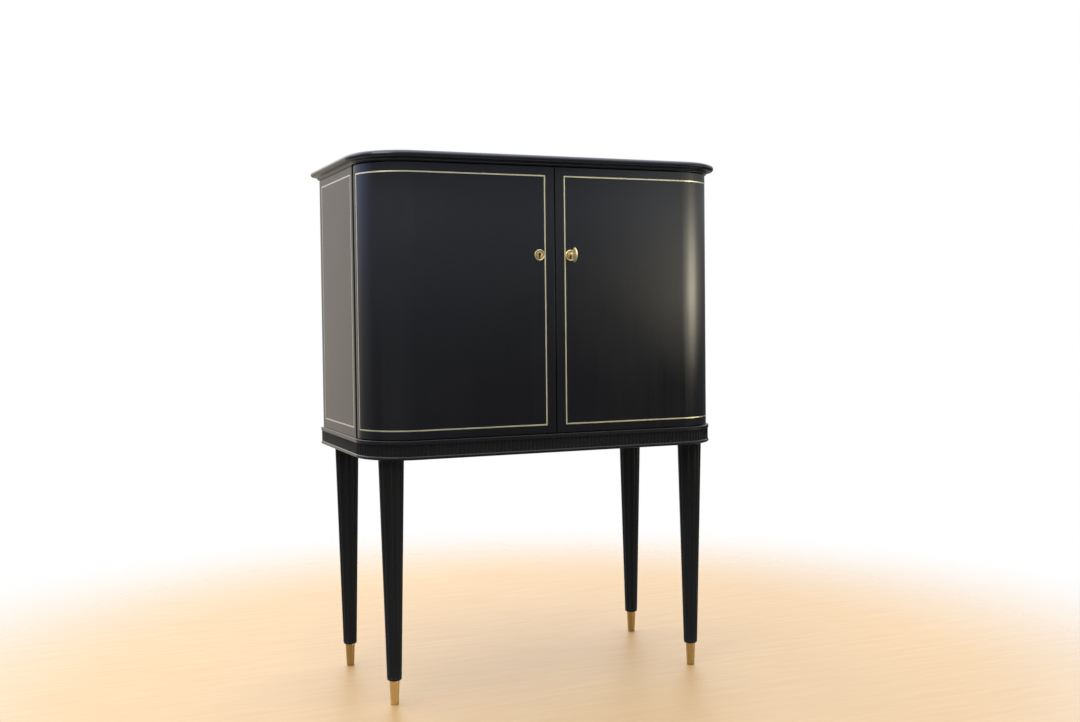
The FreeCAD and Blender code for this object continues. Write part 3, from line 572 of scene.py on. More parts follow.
def turned_y(points, n=40, drop=0.0):
    """Turned solid about the key's own axis, or an axis drop below it; points
    are (r, y)."""
    s = Shell()
    s.loft([[(KEY_X + r * math.cos(2 * math.pi * j / n), y0, KEY_Z - drop + r * math.sin(2 * math.pi * j / n)) for j in range(n)] for r, y0 in points])
    return s


# escutcheons: turned discs with a raised round rim, a sunk ring and a dome
esc = [(0.02, 0.0), (ESC_R - 0.6, 0.0), (ESC_R - 0.1, -0.1)]
esc += [(ESC_R - 1.3 + 1.3 * math.cos(math.radians(a)), -0.8 - 1.3 * math.sin(math.radians(a))) for a in range(0, 151, 15)]
esc += [(10.15, -1.0), (9.8, -0.82), (9.4, -0.78)]
esc += [(r, -0.8 - 1.0 * (1.0 - (r / 9.3) ** 2)) for r in (9.0, 8.4, 7.6, 6.6, 5.4, 4.0, 2.6, 1.2, 0.02)]
for side, sx in (('right', 1), ('left', -1)):
    shells = [turned_y(esc, 96, ESC_DROP), keyhole(3.3, 1.55, 10.6, -5.0, 3.0)]
    if sx < 0:
        shells = [s.mirrored() for s in shells]
    ob = boolean(shells[0].obj('escutcheon_turned_' + side), [shells[1].obj('hole')], sharp=40.0)
    piece(ob, side + '_door', ['escutcheon_' + side], 'polished_brass')

# key: rounded solid bow, two collars, round shank and bit

by, bz = -17.0, 18.0
bow = (three_arc((by, 9.0), (by - 0.8, 14.6), (by - 4.2, bz), 8) + three_arc((by - 4.2, bz), (by - 17.2, 11.8), (KEY_FRONT, 0.0), 24)
       + three_arc((KEY_FRONT, 0.0), (by - 17.2, -11.8), (by - 4.2, -bz), 24) + three_arc((by - 4.2, -bz), (by - 0.8, -14.6), (by, -9.0), 8)
       + [(by, -9.0), (by, -4.0), (by, 4.0)])


rings = []
mid_b = (by - 9.5, 0.0)
half = []
for k in (1.0, 0.992, 0.97, 0.935, 0.885, 0.82, 0.74, 0.64, 0.53, 0.41, 0.28, 0.15, 0.03):
    x = 3.4 * math.sqrt(1.0 - k ** 2.0)
    half.append((x, [(mid_b[0] + (a - mid_b[0]) * k, mid_b[1] + (b - mid_b[1]) * k) for a, b in bow]))
for x, line in [(-x, l) for x, l in reversed(half)] + half[1:]:
    rings.append([(KEY_X + x, a, KEY_Z - BOW_DROP + b) for a, b in line])
key = Shell().loft(rings).obj('key_cut')
shank = turned_y([(2.2, -18.0), (2.5, -17.6), (2.5, -14.6), (3.7, -14.5), (4.2, -14.0), (4.2, -12.0), (3.9, -11.6), (3.0, -11.45), (3.2, -11.3), (3.4, -10.9),
                  (3.4, -9.9), (3.1, -9.5), (2.5, -9.4), (2.5, 29.2), (2.1, 29.9), (1.7, 30.0)]).obj('shank')
bit = Shell().loft([[(KEY_X - 1.0, 24.5, z), (KEY_X + 1.0, 24.5, z), (KEY_X + 1.0, 27.5, z), (KEY_X - 1.0, 27.5, z)] for z in (KEY_Z - 9.5, KEY_Z - 0.5)]).obj('bit')
boolean(key, [shank, bit], 'UNION', 26.0)
piece(key, 'key', ['key'], 'polished_brass')

# ----------------------------------------------------------------- materials


class Tree:
    """Small helper to write a node tree."""

    def __init__(self, name):
        self.mat = bpy.data.materials.new(name)
        self.mat.use_nodes = True
        self.t = self.mat.node_tree
        self.t.nodes.clear()
        self.out = self.t.nodes.new('ShaderNodeOutputMaterial')
        self.bsdf = self.t.nodes.new('ShaderNodeBsdfPrincipled')
        self.link(self.bsdf.outputs['BSDF'], self.out.inputs['Surface'])
        self.coord = self.t.nodes.new('ShaderNodeTexCoord')

    def link(self, a, b):
        self.t.links.new(a, b)

    def node(self, kind, **kw):
        n = self.t.nodes.new(kind)
        for key, value in kw.items():
            setattr(n, key, value)
        return n

    def put(self, socket, value):
        if isinstance(value, bpy.types.NodeSocket):
            self.link(value, socket)
        else:
            socket.default_value = value

    def mapped(self, scale, rot=(0, 0, 0), loc=(0, 0, 0)):
        m = self.node('ShaderNodeMapping')
        self.link(self.coord.outputs['Object'], m.inputs['Vector'])
        m.inputs['Scale'].default_value = scale
        m.inputs['Rotation'].default_value = rot
        m.inputs['Location'].default_value = loc
        return m.outputs['Vector']

    def noise(self, vector, scale, detail=4.0, rough=0.55, distort=0.0):
        n = self.node('ShaderNodeTexNoise')
        self.link(vector, n.inputs['Vector'])
        n.inputs['Scale'].default_value = scale
        n.inputs['Detail'].default_value = detail
        n.inputs['Roughness'].default_value = rough
        n.inputs['Distortion'].default_value = distort
        return n.outputs['Fac']

    def ramp(self, fac, stops, mode='LINEAR'):
        n = self.node('ShaderNodeValToRGB')
        n.color_ramp.interpolation = mode
        el = n.color_ramp.elements
        while len(el) < len(stops):
            el.new(0.5)
        for e, (pos, col) in zip(el, stops):
            e.position = pos
            e.color = col if len(col) == 4 else (*col, 1.0)
        self.link(fac, n.inputs['Fac'])
        return n.outputs['Color']

    def math(self, op, a, b=0.0, clamp=False):
        n = self.node('ShaderNodeMath', operation=op, use_clamp=clamp)
        self.put(n.inputs[0], a)
        self.put(n.inputs[1], b)
        return n.outputs['Value']

    def range(self, v, a, b, c, d):
        n = self.node('ShaderNodeMapRange')
        self.put(n.inputs['Value'], v)
        for k, val in zip(('From Min', 'From Max', 'To Min', 'To Max'), (a, b, c, d)):
            n.inputs[k].default_value = val
        return n.outputs['Result']

    def mix(self, fac, a, b, blend='MIX'):
        n = self.node('ShaderNodeMix', data_type='RGBA', blend_type=blend)
        self.put(n.inputs['Factor'], fac)
        self.put(n.inputs['A'], a if isinstance(a, bpy.types.NodeSocket) else (*a, 1.0))
        self.put(n.inputs['B'], b if isinstance(b, bpy.types.NodeSocket) else (*b, 1.0))
        return n.outputs['Result']

    def bump(self, height, strength, distance, normal=None):
        n = self.node('ShaderNodeBump')
        n.inputs['Strength'].default_value = strength
        n.inputs['Distance'].default_value = distance
        self.link(height, n.inputs['Height'])
        if normal is not None:
            self.link(normal, n.inputs['Normal'])
        return n.outputs['Normal']

    def edges(self, radius, low, high):
        """0 on open surface, 1 on outside edges, from the rounded normal."""
        b = self.node('ShaderNodeBevel', samples=4)
        b.inputs['Radius'].default_value = radius
        g = self.node('ShaderNodeNewGeometry')
        d = self.node('ShaderNodeVectorMath', operation='DOT_PRODUCT')
        self.link(b.outputs['Normal'], d.inputs[0])
        self.link(g.outputs['Normal'], d.inputs[1])
        return self.range(d.outputs['Value'], low, high, 1.0, 0.0)


def lacquer(name, grain_axis, gloss=0.19, level=0.5, tint=1.0, worn=1.0, figure=0.0, relief=1.0, painted_flute_light=0.0):
    """Satin black lacquer over close-grained wood: faint grain telegraphs through, edges are rubbed a little. figure
    lets the wood show more, relief is how much of the grain can be felt, and the last argument paints light into the
    base's flutes, paler more towards the back."""
    t = Tree(name)
    long = {'x': (0.03, 1, 1), 'y': (1, 0.03, 1), 'z': (1, 1, 0.03)}[grain_axis]
    fine = t.noise(t.mapped(long), 820.0, 4.0, 0.6)
    streak = t.noise(t.mapped(long, loc=(3.1, 1.7, 0.4)), 95.0, 3.0, 0.55, 0.6)
    cloud = t.noise(t.coord.outputs['Object'], 5.5, 3.0, 0.5)
    speck = t.noise(t.coord.outputs['Object'], 520.0, 2.0, 0.5)
    tone = t.math('ADD', t.math('MULTIPLY', streak, 0.5), t.math('MULTIPLY', cloud, 0.5))
    tint = tint if isinstance(tint, tuple) else (tint, tint, tint)
    shade = lambda r, g, b: (r * tint[0], g * tint[1], b * tint[2])
    base = t.ramp(tone, [(0.30, shade(0.0066, 0.0067, 0.0076)), (0.55, shade(0.0078, 0.0079, 0.0088)), (0.78, shade(0.0092, 0.0092, 0.0099))])
    if figure:
        band = t.noise(t.mapped(tuple(0.12 if v < 1 else 1.0 for v in long), loc=(0.4, 2.2, 1.1)), 34.0, 4.0, 0.55, 0.4)
        base = t.mix(t.range(band, 0.42, 0.72, 0.0, figure), base, (0.054, 0.044, 0.036))
    if painted_flute_light:
        # painted light: paler only in the band of flutes, and more towards the back
        axes = t.node('ShaderNodeSeparateXYZ')
        t.link(t.coord.outputs['Object'], axes.inputs['Vector'])
        low = t.range(axes.outputs['Z'], Z_FLUTE0 / 1000.0, (Z_FLUTE0 + 1.0) / 1000.0, 0.0, painted_flute_light)
        high = t.range(axes.outputs['Z'], (Z_FLUTE1 - 1.0) / 1000.0, Z_FLUTE1 / 1000.0, 1.0, 0.0)
        back = t.range(axes.outputs['Y'], (CY - Y_SHIFT) / 1000.0, 0.252, 0.0, 1.0)
        base = t.mix(t.math('MULTIPLY', t.math('MULTIPLY', low, high), back), base, (0.034, 0.031, 0.026))
    wear = t.edges(0.0014, 0.72, 0.985)
    rub =t.math('MULTIPLY', wear, t.range(t.noise(t.coord.outputs['Object'], 46.0, 5.0, 0.65), 0.46, 0.72, 0.0, 0.45 * worn), True)
    base = t.mix(rub, base, (0.034, 0.030, 0.027))
    t.link(base, t.bsdf.inputs['Base Color'])
    rough = t.math('ADD', t.range(streak, 0.3, 0.7, gloss - 0.015, gloss + 0.02), t.range(cloud, 0.3, 0.7, -0.02, 0.03))
    rough = t.math('ADD', rough, t.range(speck, 0.35, 0.65, -0.01, 0.01))
    t.link(rough, t.bsdf.inputs['Roughness'])
    t.bsdf.inputs['IOR'].default_value = 1.5
    t.bsdf.inputs['Specular IOR Level'].default_value = level
    wave = t.bump(t.noise(t.coord.outputs['Object'], 7.0, 2.0, 0.45), 0.04, 0.002)
    pores = t.bump(streak, 0.03 * relief, 0.0004, wave)
    pores = t.bump(fine, 0.06 * relief, 0.00012, pores)
    t.link(pores, t.bsdf.inputs['Normal'])
    return t.mat


def wood(name, light, dark, axis, rough, coat):
    """Varnished veneer with soft cathedral figure along one axis."""
    t = Tree(name)
    stretch = {'x': (0.07, 1, 1), 'y': (1, 0.07, 1), 'z': (1, 1, 0.07)}[axis]
    v = t.mapped(stretch)
    swirl = t.noise(v, 7.0, 3.0, 0.5, 0.5)
    ring = t.math('FRACT', t.math('MULTIPLY', swirl, 13.0))
    ring = t.math('ABSOLUTE', t.math('SUBTRACT', t.math('MULTIPLY', ring, 2.0), 1.0))
    fibre = t.noise(t.mapped(tuple(a * b for a, b in zip(stretch, (1, 1, 1))), loc=(0.7, 0.2, 0.1)), 560.0, 4.0, 0.65)
    fleck = t.noise(t.mapped(stretch, loc=(2.0, 5.0, 1.0)), 150.0, 3.0, 0.6)
    cloud = t.noise(t.coord.outputs['Object'], 4.0, 2.0, 0.5)
    tone = t.math('ADD', t.math('MULTIPLY', ring, 0.34), t.math('MULTIPLY', fibre, 0.36))
    tone = t.math('ADD', tone, t.math('MULTIPLY', cloud, 0.30))
    mid = tuple((a + b) / 2 for a, b in zip(light, dark))
    base = t.ramp(tone, [(0.22, dark), (0.5, mid), (0.80, light)])
    base = t.mix(t.range(fleck, 0.56, 0.74, 0.0, 0.35), base, tuple(c * 0.62 for c in dark))
    t.link(base, t.bsdf.inputs['Base Color'])
    t.link(t.range(fibre, 0.3, 0.7, rough - 0.05, rough + 0.08), t.bsdf.inputs['Roughness'])
    t.bsdf.inputs['Coat Weight'].default_value = coat
    t.bsdf.inputs['Coat Roughness'].default_value = 0.28
    n = t.bump(fibre, 0.16, 0.00025)
    n = t.bump(fleck, 0.10, 0.0004, n)
    t.link(n, t.bsdf.inputs['Normal'])
    return t.mat


def brass(name, bright, dull, rough, brushed=None, tarnish=0.35, scratch=0.12, metal=1.0, coat=0.0, coat_ior=1.5, fleck=0.25):
    """Brass with handling marks: cloudy tarnish, fine scratches."""
    t = Tree(name)
    cloud = t.noise(t.coord.outputs['Object'], 38.0, 4.0, 0.6, 0.3)
    small = t.noise(t.coord.outputs['Object'], 260.0, 3.0, 0.6)
    vec = t.mapped({'z': (0.04, 0.04, 1), 'x': (1, 0.05, 0.05), None: (1, 0.08, 0.6)}[brushed])
    lines = t.noise(vec, 1500.0 if brushed else 900.0, 2.0, 0.6)
    dark = t.range(cloud, 0.42, 0.75, 0.0, tarnish)
    base = t.mix(dark, bright, dull)
    base = t.mix(t.range(small, 0.58, 0.75, 0.0, fleck), base, tuple(c * 0.55 for c in dull))
    edge = t.edges(0.0008, 0.75, 0.985)
    base = t.mix(t.math('MULTIPLY', edge, 0.35), base, tuple(min(1.0, c * 1.12) for c in bright))
    t.link(base, t.bsdf.inputs['Base Color'])
    t.bsdf.inputs['Metallic'].default_value = metal
    t.bsdf.inputs['Coat Weight'].default_value = coat
    t.bsdf.inputs['Coat Roughness'].default_value = 0.13
    t.bsdf.inputs['Coat IOR'].default_value = coat_ior
    r = t.math('ADD', t.range(cloud, 0.3, 0.7, rough - 0.04, rough + 0.07), t.range(lines, 0.3, 0.7, -0.03, 0.05))
    t.link(r, t.bsdf.inputs['Roughness'])
    n = t.bump(lines, scratch, 0.00006)
    n = t.bump(small, 0.06, 0.0001, n)
    t.link(n, t.bsdf.inputs['Normal'])
    return t.mat


def plate_brass(name):
    """Brass of the escutcheons: rubbed pale on the rim, dark in the sunk ring,
    golden with brown clouds on the dome."""
    t = Tree(name)
    axes = t.node('ShaderNodeSeparateXYZ')
    t.link(t.coord.outputs['Object'], axes.inputs['Vector'])
    dx = t.math('SUBTRACT', t.math('ABSOLUTE', axes.outputs['X']), KEY_X / 1000.0)
    dz = t.math('SUBTRACT', axes.outputs['Z'], (KEY_Z - ESC_DROP) / 1000.0)
    r = t.math('SQRT', t.math('ADD', t.math('MULTIPLY', dx, dx), t.math('MULTIPLY', dz, dz)))
    cloud = t.noise(t.coord.outputs['Object'], 190.0, 4.0, 0.6, 0.3)
    small = t.noise(t.coord.outputs['Object'], 700.0, 3.0, 0.6)
    far = t.math('ADD', t.range(r, 0.0, ESC_R / 1000.0, 0.0, 1.0), t.range(cloud, 0.3, 0.7, -0.02, 0.02))
    base = t.ramp(far, [(0.0, (0.72, 0.57, 0.25)), (0.58, (0.70, 0.55, 0.24)), (0.70, (0.30, 0.21, 0.08)), (0.79, (0.32, 0.23, 0.09)),
                        (0.87, (0.86, 0.74, 0.44)), (1.0, (0.90, 0.80, 0.52))])
    base = t.mix(t.range(cloud, 0.45, 0.70, 0.0, 0.65), base, (0.34, 0.23, 0.09))
    base = t.mix(t.range(small, 0.56, 0.75, 0.0, 0.2), base, (0.20, 0.13, 0.05))
    t.link(base, t.bsdf.inputs['Base Color'])
    t.bsdf.inputs['Metallic'].default_value = 1.0
    t.link(t.math('ADD', t.range(cloud, 0.3, 0.7, 0.38, 0.50), t.range(small, 0.3, 0.7, -0.03, 0.04)), t.bsdf.inputs['Roughness'])
    t.link(t.bump(small, 0.08, 0.0001), t.bsdf.inputs['Normal'])
    return t.mat


def steel(name):
    t = Tree(name)
    cloud = t.noise(t.coord.outputs['Object'], 120.0, 4.0, 0.6)
    lines = t.noise(t.mapped((1, 0.06, 0.3)), 1400.0, 2.0, 0.6)
    base = t.ramp(cloud, [(0.3, (0.30, 0.295, 0.285)), (0.6, (0.46, 0.455, 0.45)), (0.8, (0.56, 0.555, 0.55))])
    t.link(base, t.bsdf.inputs['Base Color'])
    t.bsdf.inputs['Metallic'].default_value = 1.0
    t.link(t.math('ADD', t.range(cloud, 0.3, 0.7, 0.26, 0.40), t.range(lines, 0.3, 0.7, -0.03, 0.05)), t.bsdf.inputs['Roughness'])
    t.link(t.bump(lines, 0.12, 0.00006), t.bsdf.inputs['Normal'])
    return t.mat


BIRCH_L, BIRCH_D = (0.62, 0.43, 0.245), (0.42, 0.265, 0.135)
M = {
    'lacquer_z': lacquer('lacquer_upright', 'z', 0.115, 0.5, (0.98, 0.92, 0.84)),
    'lacquer_side': lacquer('lacquer_sides', 'z', 0.115, 0.5, 1.0, 1.0, 0.14),
    # painted shade: a darker, duller lacquer for the roundings in the seams beside and between the doors
    'lacquer_edge': lacquer('lacquer_edges', 'z', 0.55, 0.15, 0.5, 0.0),
    'lacquer_x': lacquer('lacquer_along', 'x', 0.14, 0.45, 1.55, 0.2, 0.0, 0.25),
    'lacquer_leg': lacquer('lacquer_legs', 'z', 0.36, 0.22, (0.82, 0.76, 0.56), 0.2),
    'lacquer_base': lacquer('lacquer_base', 'x', 0.24, 0.17, (1.4, 1.33, 1.12), 0.1),
    # the base's sides carry painted light in their flutes
    'lacquer_base_side': lacquer('lacquer_base_sides', 'y', 0.12, 0.55, (1.7, 1.6, 1.4), 0.1, 0.0, 1.0, 1.0),
    'birch_z': wood('birch_upright', BIRCH_L, BIRCH_D, 'z', 0.42, 0.15),
    'birch_x': wood('birch_along', BIRCH_L, BIRCH_D, 'x', 0.42, 0.15),
    'back': wood('stained_plywood', (0.30, 0.195, 0.115), (0.17, 0.105, 0.06), 'z', 0.58, 0.0),
    'inlay': brass('inlay_brass', (0.92, 0.83, 0.50), (0.80, 0.70, 0.40), 0.34, None, 0.2, 0.03, 1.0, 1.0, 1.9, 0.06),
    # painted reflection: a paler, greyer copy of the inlay brass for the side lines
    'inlay_side': brass('inlay_brass_pale', (0.86, 0.83, 0.74), (0.72, 0.69, 0.60), 0.30, None, 0.25, 0.04, 1.0, 1.0, 2.0, 0.08),
    'brass': brass('polished_brass', (0.90, 0.73, 0.34), (0.62, 0.47, 0.18), 0.24, None, 0.35, 0.10),
    'plate': plate_brass('satin_brass'),
    'key': brass('worn_brass', (0.96, 0.82, 0.44), (0.76, 0.59, 0.26), 0.52, None, 0.35, 0.10, 1.0, 0.0, 1.5, 0.12),
    'ferrule': brass('ferrule_brass', (0.98, 0.545, 0.158), (0.70, 0.37, 0.102), 0.36, 'z', 0.45, 0.10),
    # painted shade: darker copies of the ferrule brass for the ferrules that stand in shade
    'ferrule_painted_shade': brass('ferrule_brass_dull', (0.74, 0.40, 0.112), (0.51, 0.265, 0.072), 0.36, 'z', 0.45, 0.10),
    'ferrule_painted_deep_shade': brass('ferrule_brass_dark', (0.63, 0.335, 0.085), (0.44, 0.22, 0.054), 0.36, 'z', 0.45, 0.10),
    'bronze': brass('dark_bronze', (0.12, 0.09, 0.058), (0.07, 0.05, 0.032), 0.36, None, 0.5, 0.10),
    'steel': steel('steel'),
}
SLOT_MAT = {'black_lacquer': ['lacquer_z', 'birch_z', 'lacquer_edge'],'interior_wood': ['birch_z'], 'back_board': ['back'], 'inlay_brass': ['inlay'],
            'polished_brass': ['brass'], 'ferrule_brass': ['ferrule'], 'steel': ['steel']}


def paint(ob, *keys):
    # clearing the list sets every face back to the first material
    kept = [p.material_index for p in ob.data.polygons]
    ob.data.materials.clear()
    for key_name in keys:
        ob.data.materials.append(M[key_name])
    for p, m in zip(ob.data.polygons, kept):
        p.material_index = min(m, len(keys) - 1)


node_slot = {}
for m in frame["record"]["materials"]:
    for n in m.get("nodes", []):
        node_slot[n] = m["slot"]
for name, ob in PIECES.items():
    slot = ob["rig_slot"]
    keys = SLOT_MAT[slot]
    if name in ('top', 'cornice'):
        keys = ['lacquer_x']
    elif name.startswith('base_'):
        # the straight sides, behind the bend, are glossier than the front, with painted light in their flutes
        keys = ['lacquer_base', 'lacquer_base_side']
        for p in ob.data.polygons:
            p.material_index = 1 if abs(p.center.x) > 0.4 and p.center.y > (CY - Y_SHIFT) / 1000.0 else 0
    elif name.startswith('leg_'):
        keys = ['lacquer_leg']
    elif name.startswith('side_board'):
        # the side boards' front roundings get the painted-shade lacquer of the seam
        keys = ['lacquer_side', 'birch_z', 'lacquer_edge']
    # the side lines take the paler brass, a painted reflection
    elif name.startswith('side_line'):
        keys = ['inlay_side']
    elif name.startswith('escutcheon'):
        keys = ['plate']
    elif name == 'key_cut':
        keys = ['key']
    elif name.startswith('ferrule_'):
        # painted shade: the front right one a little darker, the back ones darker still, the front left one left bright
        keys = [{'front_left': 'ferrule', 'front_right': 'ferrule_painted_shade'}.get(name[len('ferrule_turned_'):], 'ferrule_painted_deep_shade')]
    ids ={p.material_index for p in ob.data.polygons}
    paint(ob, *(keys if max(ids) > 0 else keys[:1]))
ALONG = {'bottom_panel', 'sub_top_panel', 'shelf_left', 'shelf_right', 'apron_back_rail', 'leg_block_front_left', 'leg_block_front_right',
         'leg_block_back_left', 'leg_block_back_right'}
STEEL = ('screws', 'hinge_pins', 'shelf_pins', 'lock_case')
for name, ob in NODES.items():
    if ob.hide_render:
        continue
    if name == 'back_panel':
        paint(ob, 'back')
    elif any(w in name for w in STEEL):
        paint(ob, 'steel')
    elif name in ALONG:
        paint(ob, 'birch_x', 'lacquer_x')
    elif name == 'center_divider':
        paint(ob, 'birch_z', 'lacquer_z')
    elif name.startswith('hinge_'):
        paint(ob, 'bronze')
    else:
        paint(ob, 'brass')
    # the boards' front edges are lacquered like the outside
    edged = name in ('bottom_panel', 'sub_top_panel', 'center_divider')
    for p in ob.data.polygons:
        p.material_index = 1 if edged and p.normal.y < -0.05 and p.normal.z ** 2 < 0.2 and p.center.y < -0.08 else 0

# --------------------------------------------------------------------- stage
fm = bpy.data.meshes.new('floor')
fb = bmesh.new()
bmesh.ops.create_circle(fb, cap_ends=True, segments=96, radius=4.0)
fb.to_mesh(fm)
fb.free()
floor = bpy.data.objects.new('floor', fm)
floor.location = (0, 0, -0.0004)
SCENE.collection.objects.link(floor)
t = Tree('pale_floor')
c = t.noise(t.coord.outputs['Object'], 1.3, 3.0, 0.5)
f = t.noise(t.mapped((0.08, 1, 1)), 60.0, 4.0, 0.6)
shown = t.mix(t.range(f, 0.3, 0.7, 0.0, 0.25), t.ramp(c, [(0.3, (0.270, 0.166, 0.062)), (0.7, (0.286, 0.178, 0.067))]), (0.254, 0.155, 0.058))
# what the floor throws back on to the object is kept low and neutral
path = t.node('ShaderNodeLightPath')
t.link(t.mix(path.outputs['Is Camera Ray'], (0.13, 0.125, 0.12), shown), t.bsdf.inputs['Base Color'])
t.link(t.range(f, 0.3, 0.7, 0.42, 0.52), t.bsdf.inputs['Roughness'])
dist = t.node('ShaderNodeVectorMath', operation='LENGTH')
t.link(t.coord.outputs['Object'], dist.inputs[0])
fade = t.node('ShaderNodeMapRange', interpolation_type='SMOOTHSTEP')
t.link(dist.outputs['Value'], fade.inputs['Value'])
fade.inputs['From Min'].default_value = 1.0
fade.inputs['From Max'].default_value = 2.1
clear = t.node('ShaderNodeBsdfTransparent')
geo = t.node('ShaderNodeNewGeometry')
both = t.math('MAXIMUM', fade.outputs['Result'], geo.outputs['Backfacing'])
mixer = t.node('ShaderNodeMixShader')
t.link(both, mixer.inputs['Fac'])
t.link(t.bsdf.outputs['BSDF'], mixer.inputs[1])
t.link(clear.outputs['BSDF'], mixer.inputs[2])
t.link(mixer.outputs['Shader'], t.out.inputs['Surface'])
fm.materials.append(t.mat)

# ------------------------------------------------------------ light and world
world = bpy.data.worlds.new('studio')
SCENE.world = world
world.use_nodes = True
wt = world.node_tree
wt.nodes.clear()


def wn(kind, **kw):
    n = wt.nodes.new(kind)
    for key_name, value in kw.items():
        setattr(n, key_name, value)
    return n


def wmath(op, a, b=0.0, clamp=False):
    n = wn('ShaderNodeMath', operation=op, use_clamp=clamp)
    for s, v in zip(n.inputs, (a, b)):
        if isinstance(v, bpy.types.NodeSocket):
            wt.links.new(v, s)
        else:
            s.default_value = v
    return n.outputs['Value']


def wrange(v, a, b, lo, hi, shape='SMOOTHSTEP'):
    n = wn('ShaderNodeMapRange', interpolation_type=shape)
    wt.links.new(v, n.inputs['Value'])
    for key_name, val in zip(('From Min', 'From Max', 'To Min', 'To Max'), (a, b, lo, hi)):
        n.inputs[key_name].default_value = val
    return n.outputs['Result']


def wramp(v, lo, hi, stops):
    """Curve through (value, level) stops, for values from lo to hi."""
    n = wn('ShaderNodeValToRGB')
    el = n.color_ramp.elements
    while len(el) < len(stops):
        el.new(0.5)
    for e, (pos, val) in zip(el, stops):
        e.position = (pos - lo) / (hi - lo)
        e.color = (val, val, val, 1.0)
    wt.links.new(wrange(v, lo, hi, 0.0, 1.0, 'LINEAR'), n.inputs['Fac'])
    return n.outputs['Color']


def glow(color, level):
    n = wn('ShaderNodeBackground')
    n.inputs['Color'].default_value = (*color, 1.0)
    wt.links.new(level, n.inputs['Strength'])
    return n.outputs['Background']


def wadd(a, b):
    n = wn('ShaderNodeAddShader')
    wt.links.new(a, n.inputs[0])
    wt.links.new(b, n.inputs[1])
    return n.outputs['Shader']


wc = wn('ShaderNodeTexCoord')
sep = wn('ShaderNodeSeparateXYZ')
wt.links.new(wc.outputs['Generated'], sep.inputs['Vector'])
X, Y, Z = sep.outputs['X'], sep.outputs['Y'], sep.outputs['Z']
# angle from straight ahead of the doors, in degrees, right of them positive
turn_d = wmath('MULTIPLY', wmath('ARCTAN2', X, wmath('MULTIPLY', Y, -1.0)), 180.0 / math.pi)
away = wmath('ABSOLUTE', turn_d)
# in front: dim near the ground, lighter upwards, a soft light overhead
front_z = wramp(Z, -0.14, 0.26, [(-0.14, 0.03), (-0.075, 0.055), (-0.05, 0.08), (-0.028, 0.125), (0.012, 0.22), (0.052, 0.36), (0.085, 0.57),
                                 (0.098, 0.57), (0.106, 0.36), (0.116, 0.22), (0.26, 0.22)])
front_l = wmath('MULTIPLY', front_z, wramp(turn_d, -110.0, 120.0, [
    (-110.0, 0.0), (-100.0, 0.25), (-88.0, 0.85), (-70.0, 1.0), (10.0, 1.1), (17.7, 1.0), (20.5, 0.8), (23.0, 0.62), (60.0, 0.6), (90.0, 0.4),
    (105.0, 0.15), (120.0, 0.0)]))
right_l = wmath('MULTIPLY', front_z, wramp(turn_d, 60.0, 150.0, [(60.0, 0.0), (90.0, 0.3), (105.0, 0.56), (120.0, 0.62), (135.0, 0.42), (150.0, 0.0)]))
ground = wmath('MULTIPLY', wramp(Z, -0.2, 0.04, [(-0.2, 0.05), (-0.12, 0.09), (-0.07, 0.11), (-0.03, 0.08), (0.01, 0.03), (0.04, 0.0)]),
               wramp(turn_d, -80.0, 18.0, [(-80.0, 0.0), (-62.0, 0.9), (-25.0, 1.0), (5.0, 0.35), (18.0, 0.0)]))
above = wramp(Z, 0.3, 1.0, [(0.3, 0.05), (0.4, 0.45), (0.55, 1.05), (0.68, 2.0), (0.8, 3.4), (0.9, 4.0), (1.0, 4.0)])
# to the left: soft, cooler upwards
left_w = wramp(turn_d, -170.0, -74.0, [(-170.0, 0.0), (-158.0, 0.25), (-146.0, 0.7), (-136.0, 1.0), (-117.0, 1.0), (-111.0, 0.93), (-104.0, 0.75),
                                       (-97.0, 0.45), (-91.0, 0.2), (-84.0, 0.05), (-74.0, 0.0)])
left_n = wmath('MULTIPLY', left_w, wramp(Z, -0.12, 0.3, [(-0.12, 0.12), (-0.07, 0.19), (-0.026, 0.27), (0.014, 0.34), (0.061, 0.42), (0.097, 0.50),
                                                         (0.3, 0.50)]))
left_b = wmath('MULTIPLY', left_w, wramp(Z, 0.0, 0.3, [(0.0, 0.0), (0.014, 0.04), (0.061, 0.19), (0.097, 0.35), (0.2, 0.4), (0.3, 0.3)]))
# behind: pale and a little warm
behind = wramp(away, 120.0, 180.0, [(120.0, 0.0), (135.0, 0.03), (146.0, 0.18), (156.0, 0.43), (164.0, 0.61), (172.0, 0.66), (180.0, 0.67)])
behind = wmath('MULTIPLY', behind, wmath('MULTIPLY', wrange(Z, -0.45, 0.02, 0.45, 1.0), wrange(Z, 0.9, 0.5, 0.3, 1.0)))
over = wmath('MULTIPLY', wramp(Z, 0.14, 0.8, [(0.14, 0.0), (0.25, 1.0), (0.4, 2.4), (0.6, 2.4), (0.8, 0.6)]), wrange(away, 95.0, 130.0, 0.0, 1.0))
# to the right: a wide, low, soft light with a paler one above it
low = wramp(turn_d, 17.0, 121.0, [(17.0, 0.0), (22.0, 0.004), (25.5, 0.012), (27.3, 0.045), (28.5, 0.12), (31.0, 0.27), (34.0, 0.34), (44.0, 0.64),
                                  (52.0, 0.95), (58.0, 1.0), (66.0, 0.76), (74.0, 0.39), (80.0, 0.21), (90.0, 0.09), (98.0, 0.04), (110.0, 0.012),
                                  (121.0, 0.0)])
rise = wramp(Z, -0.08, 0.16, [(-0.08, 0.0), (-0.0571, 0.0), (-0.0452, 0.0), (-0.0332, 0.055), (-0.0213, 0.28), (-0.0094, 0.59), (0.0026, 0.84),
                              (0.0145, 0.98), (0.0264, 1.0), (0.038, 0.85), (0.05, 0.65), (0.062, 0.43), (0.074, 0.27), (0.086, 0.15), (0.098, 0.08),
                              (0.12, 0.02), (0.16, 0.0)])
low = wmath('MULTIPLY', wmath('MULTIPLY', low, rise), 10.2)
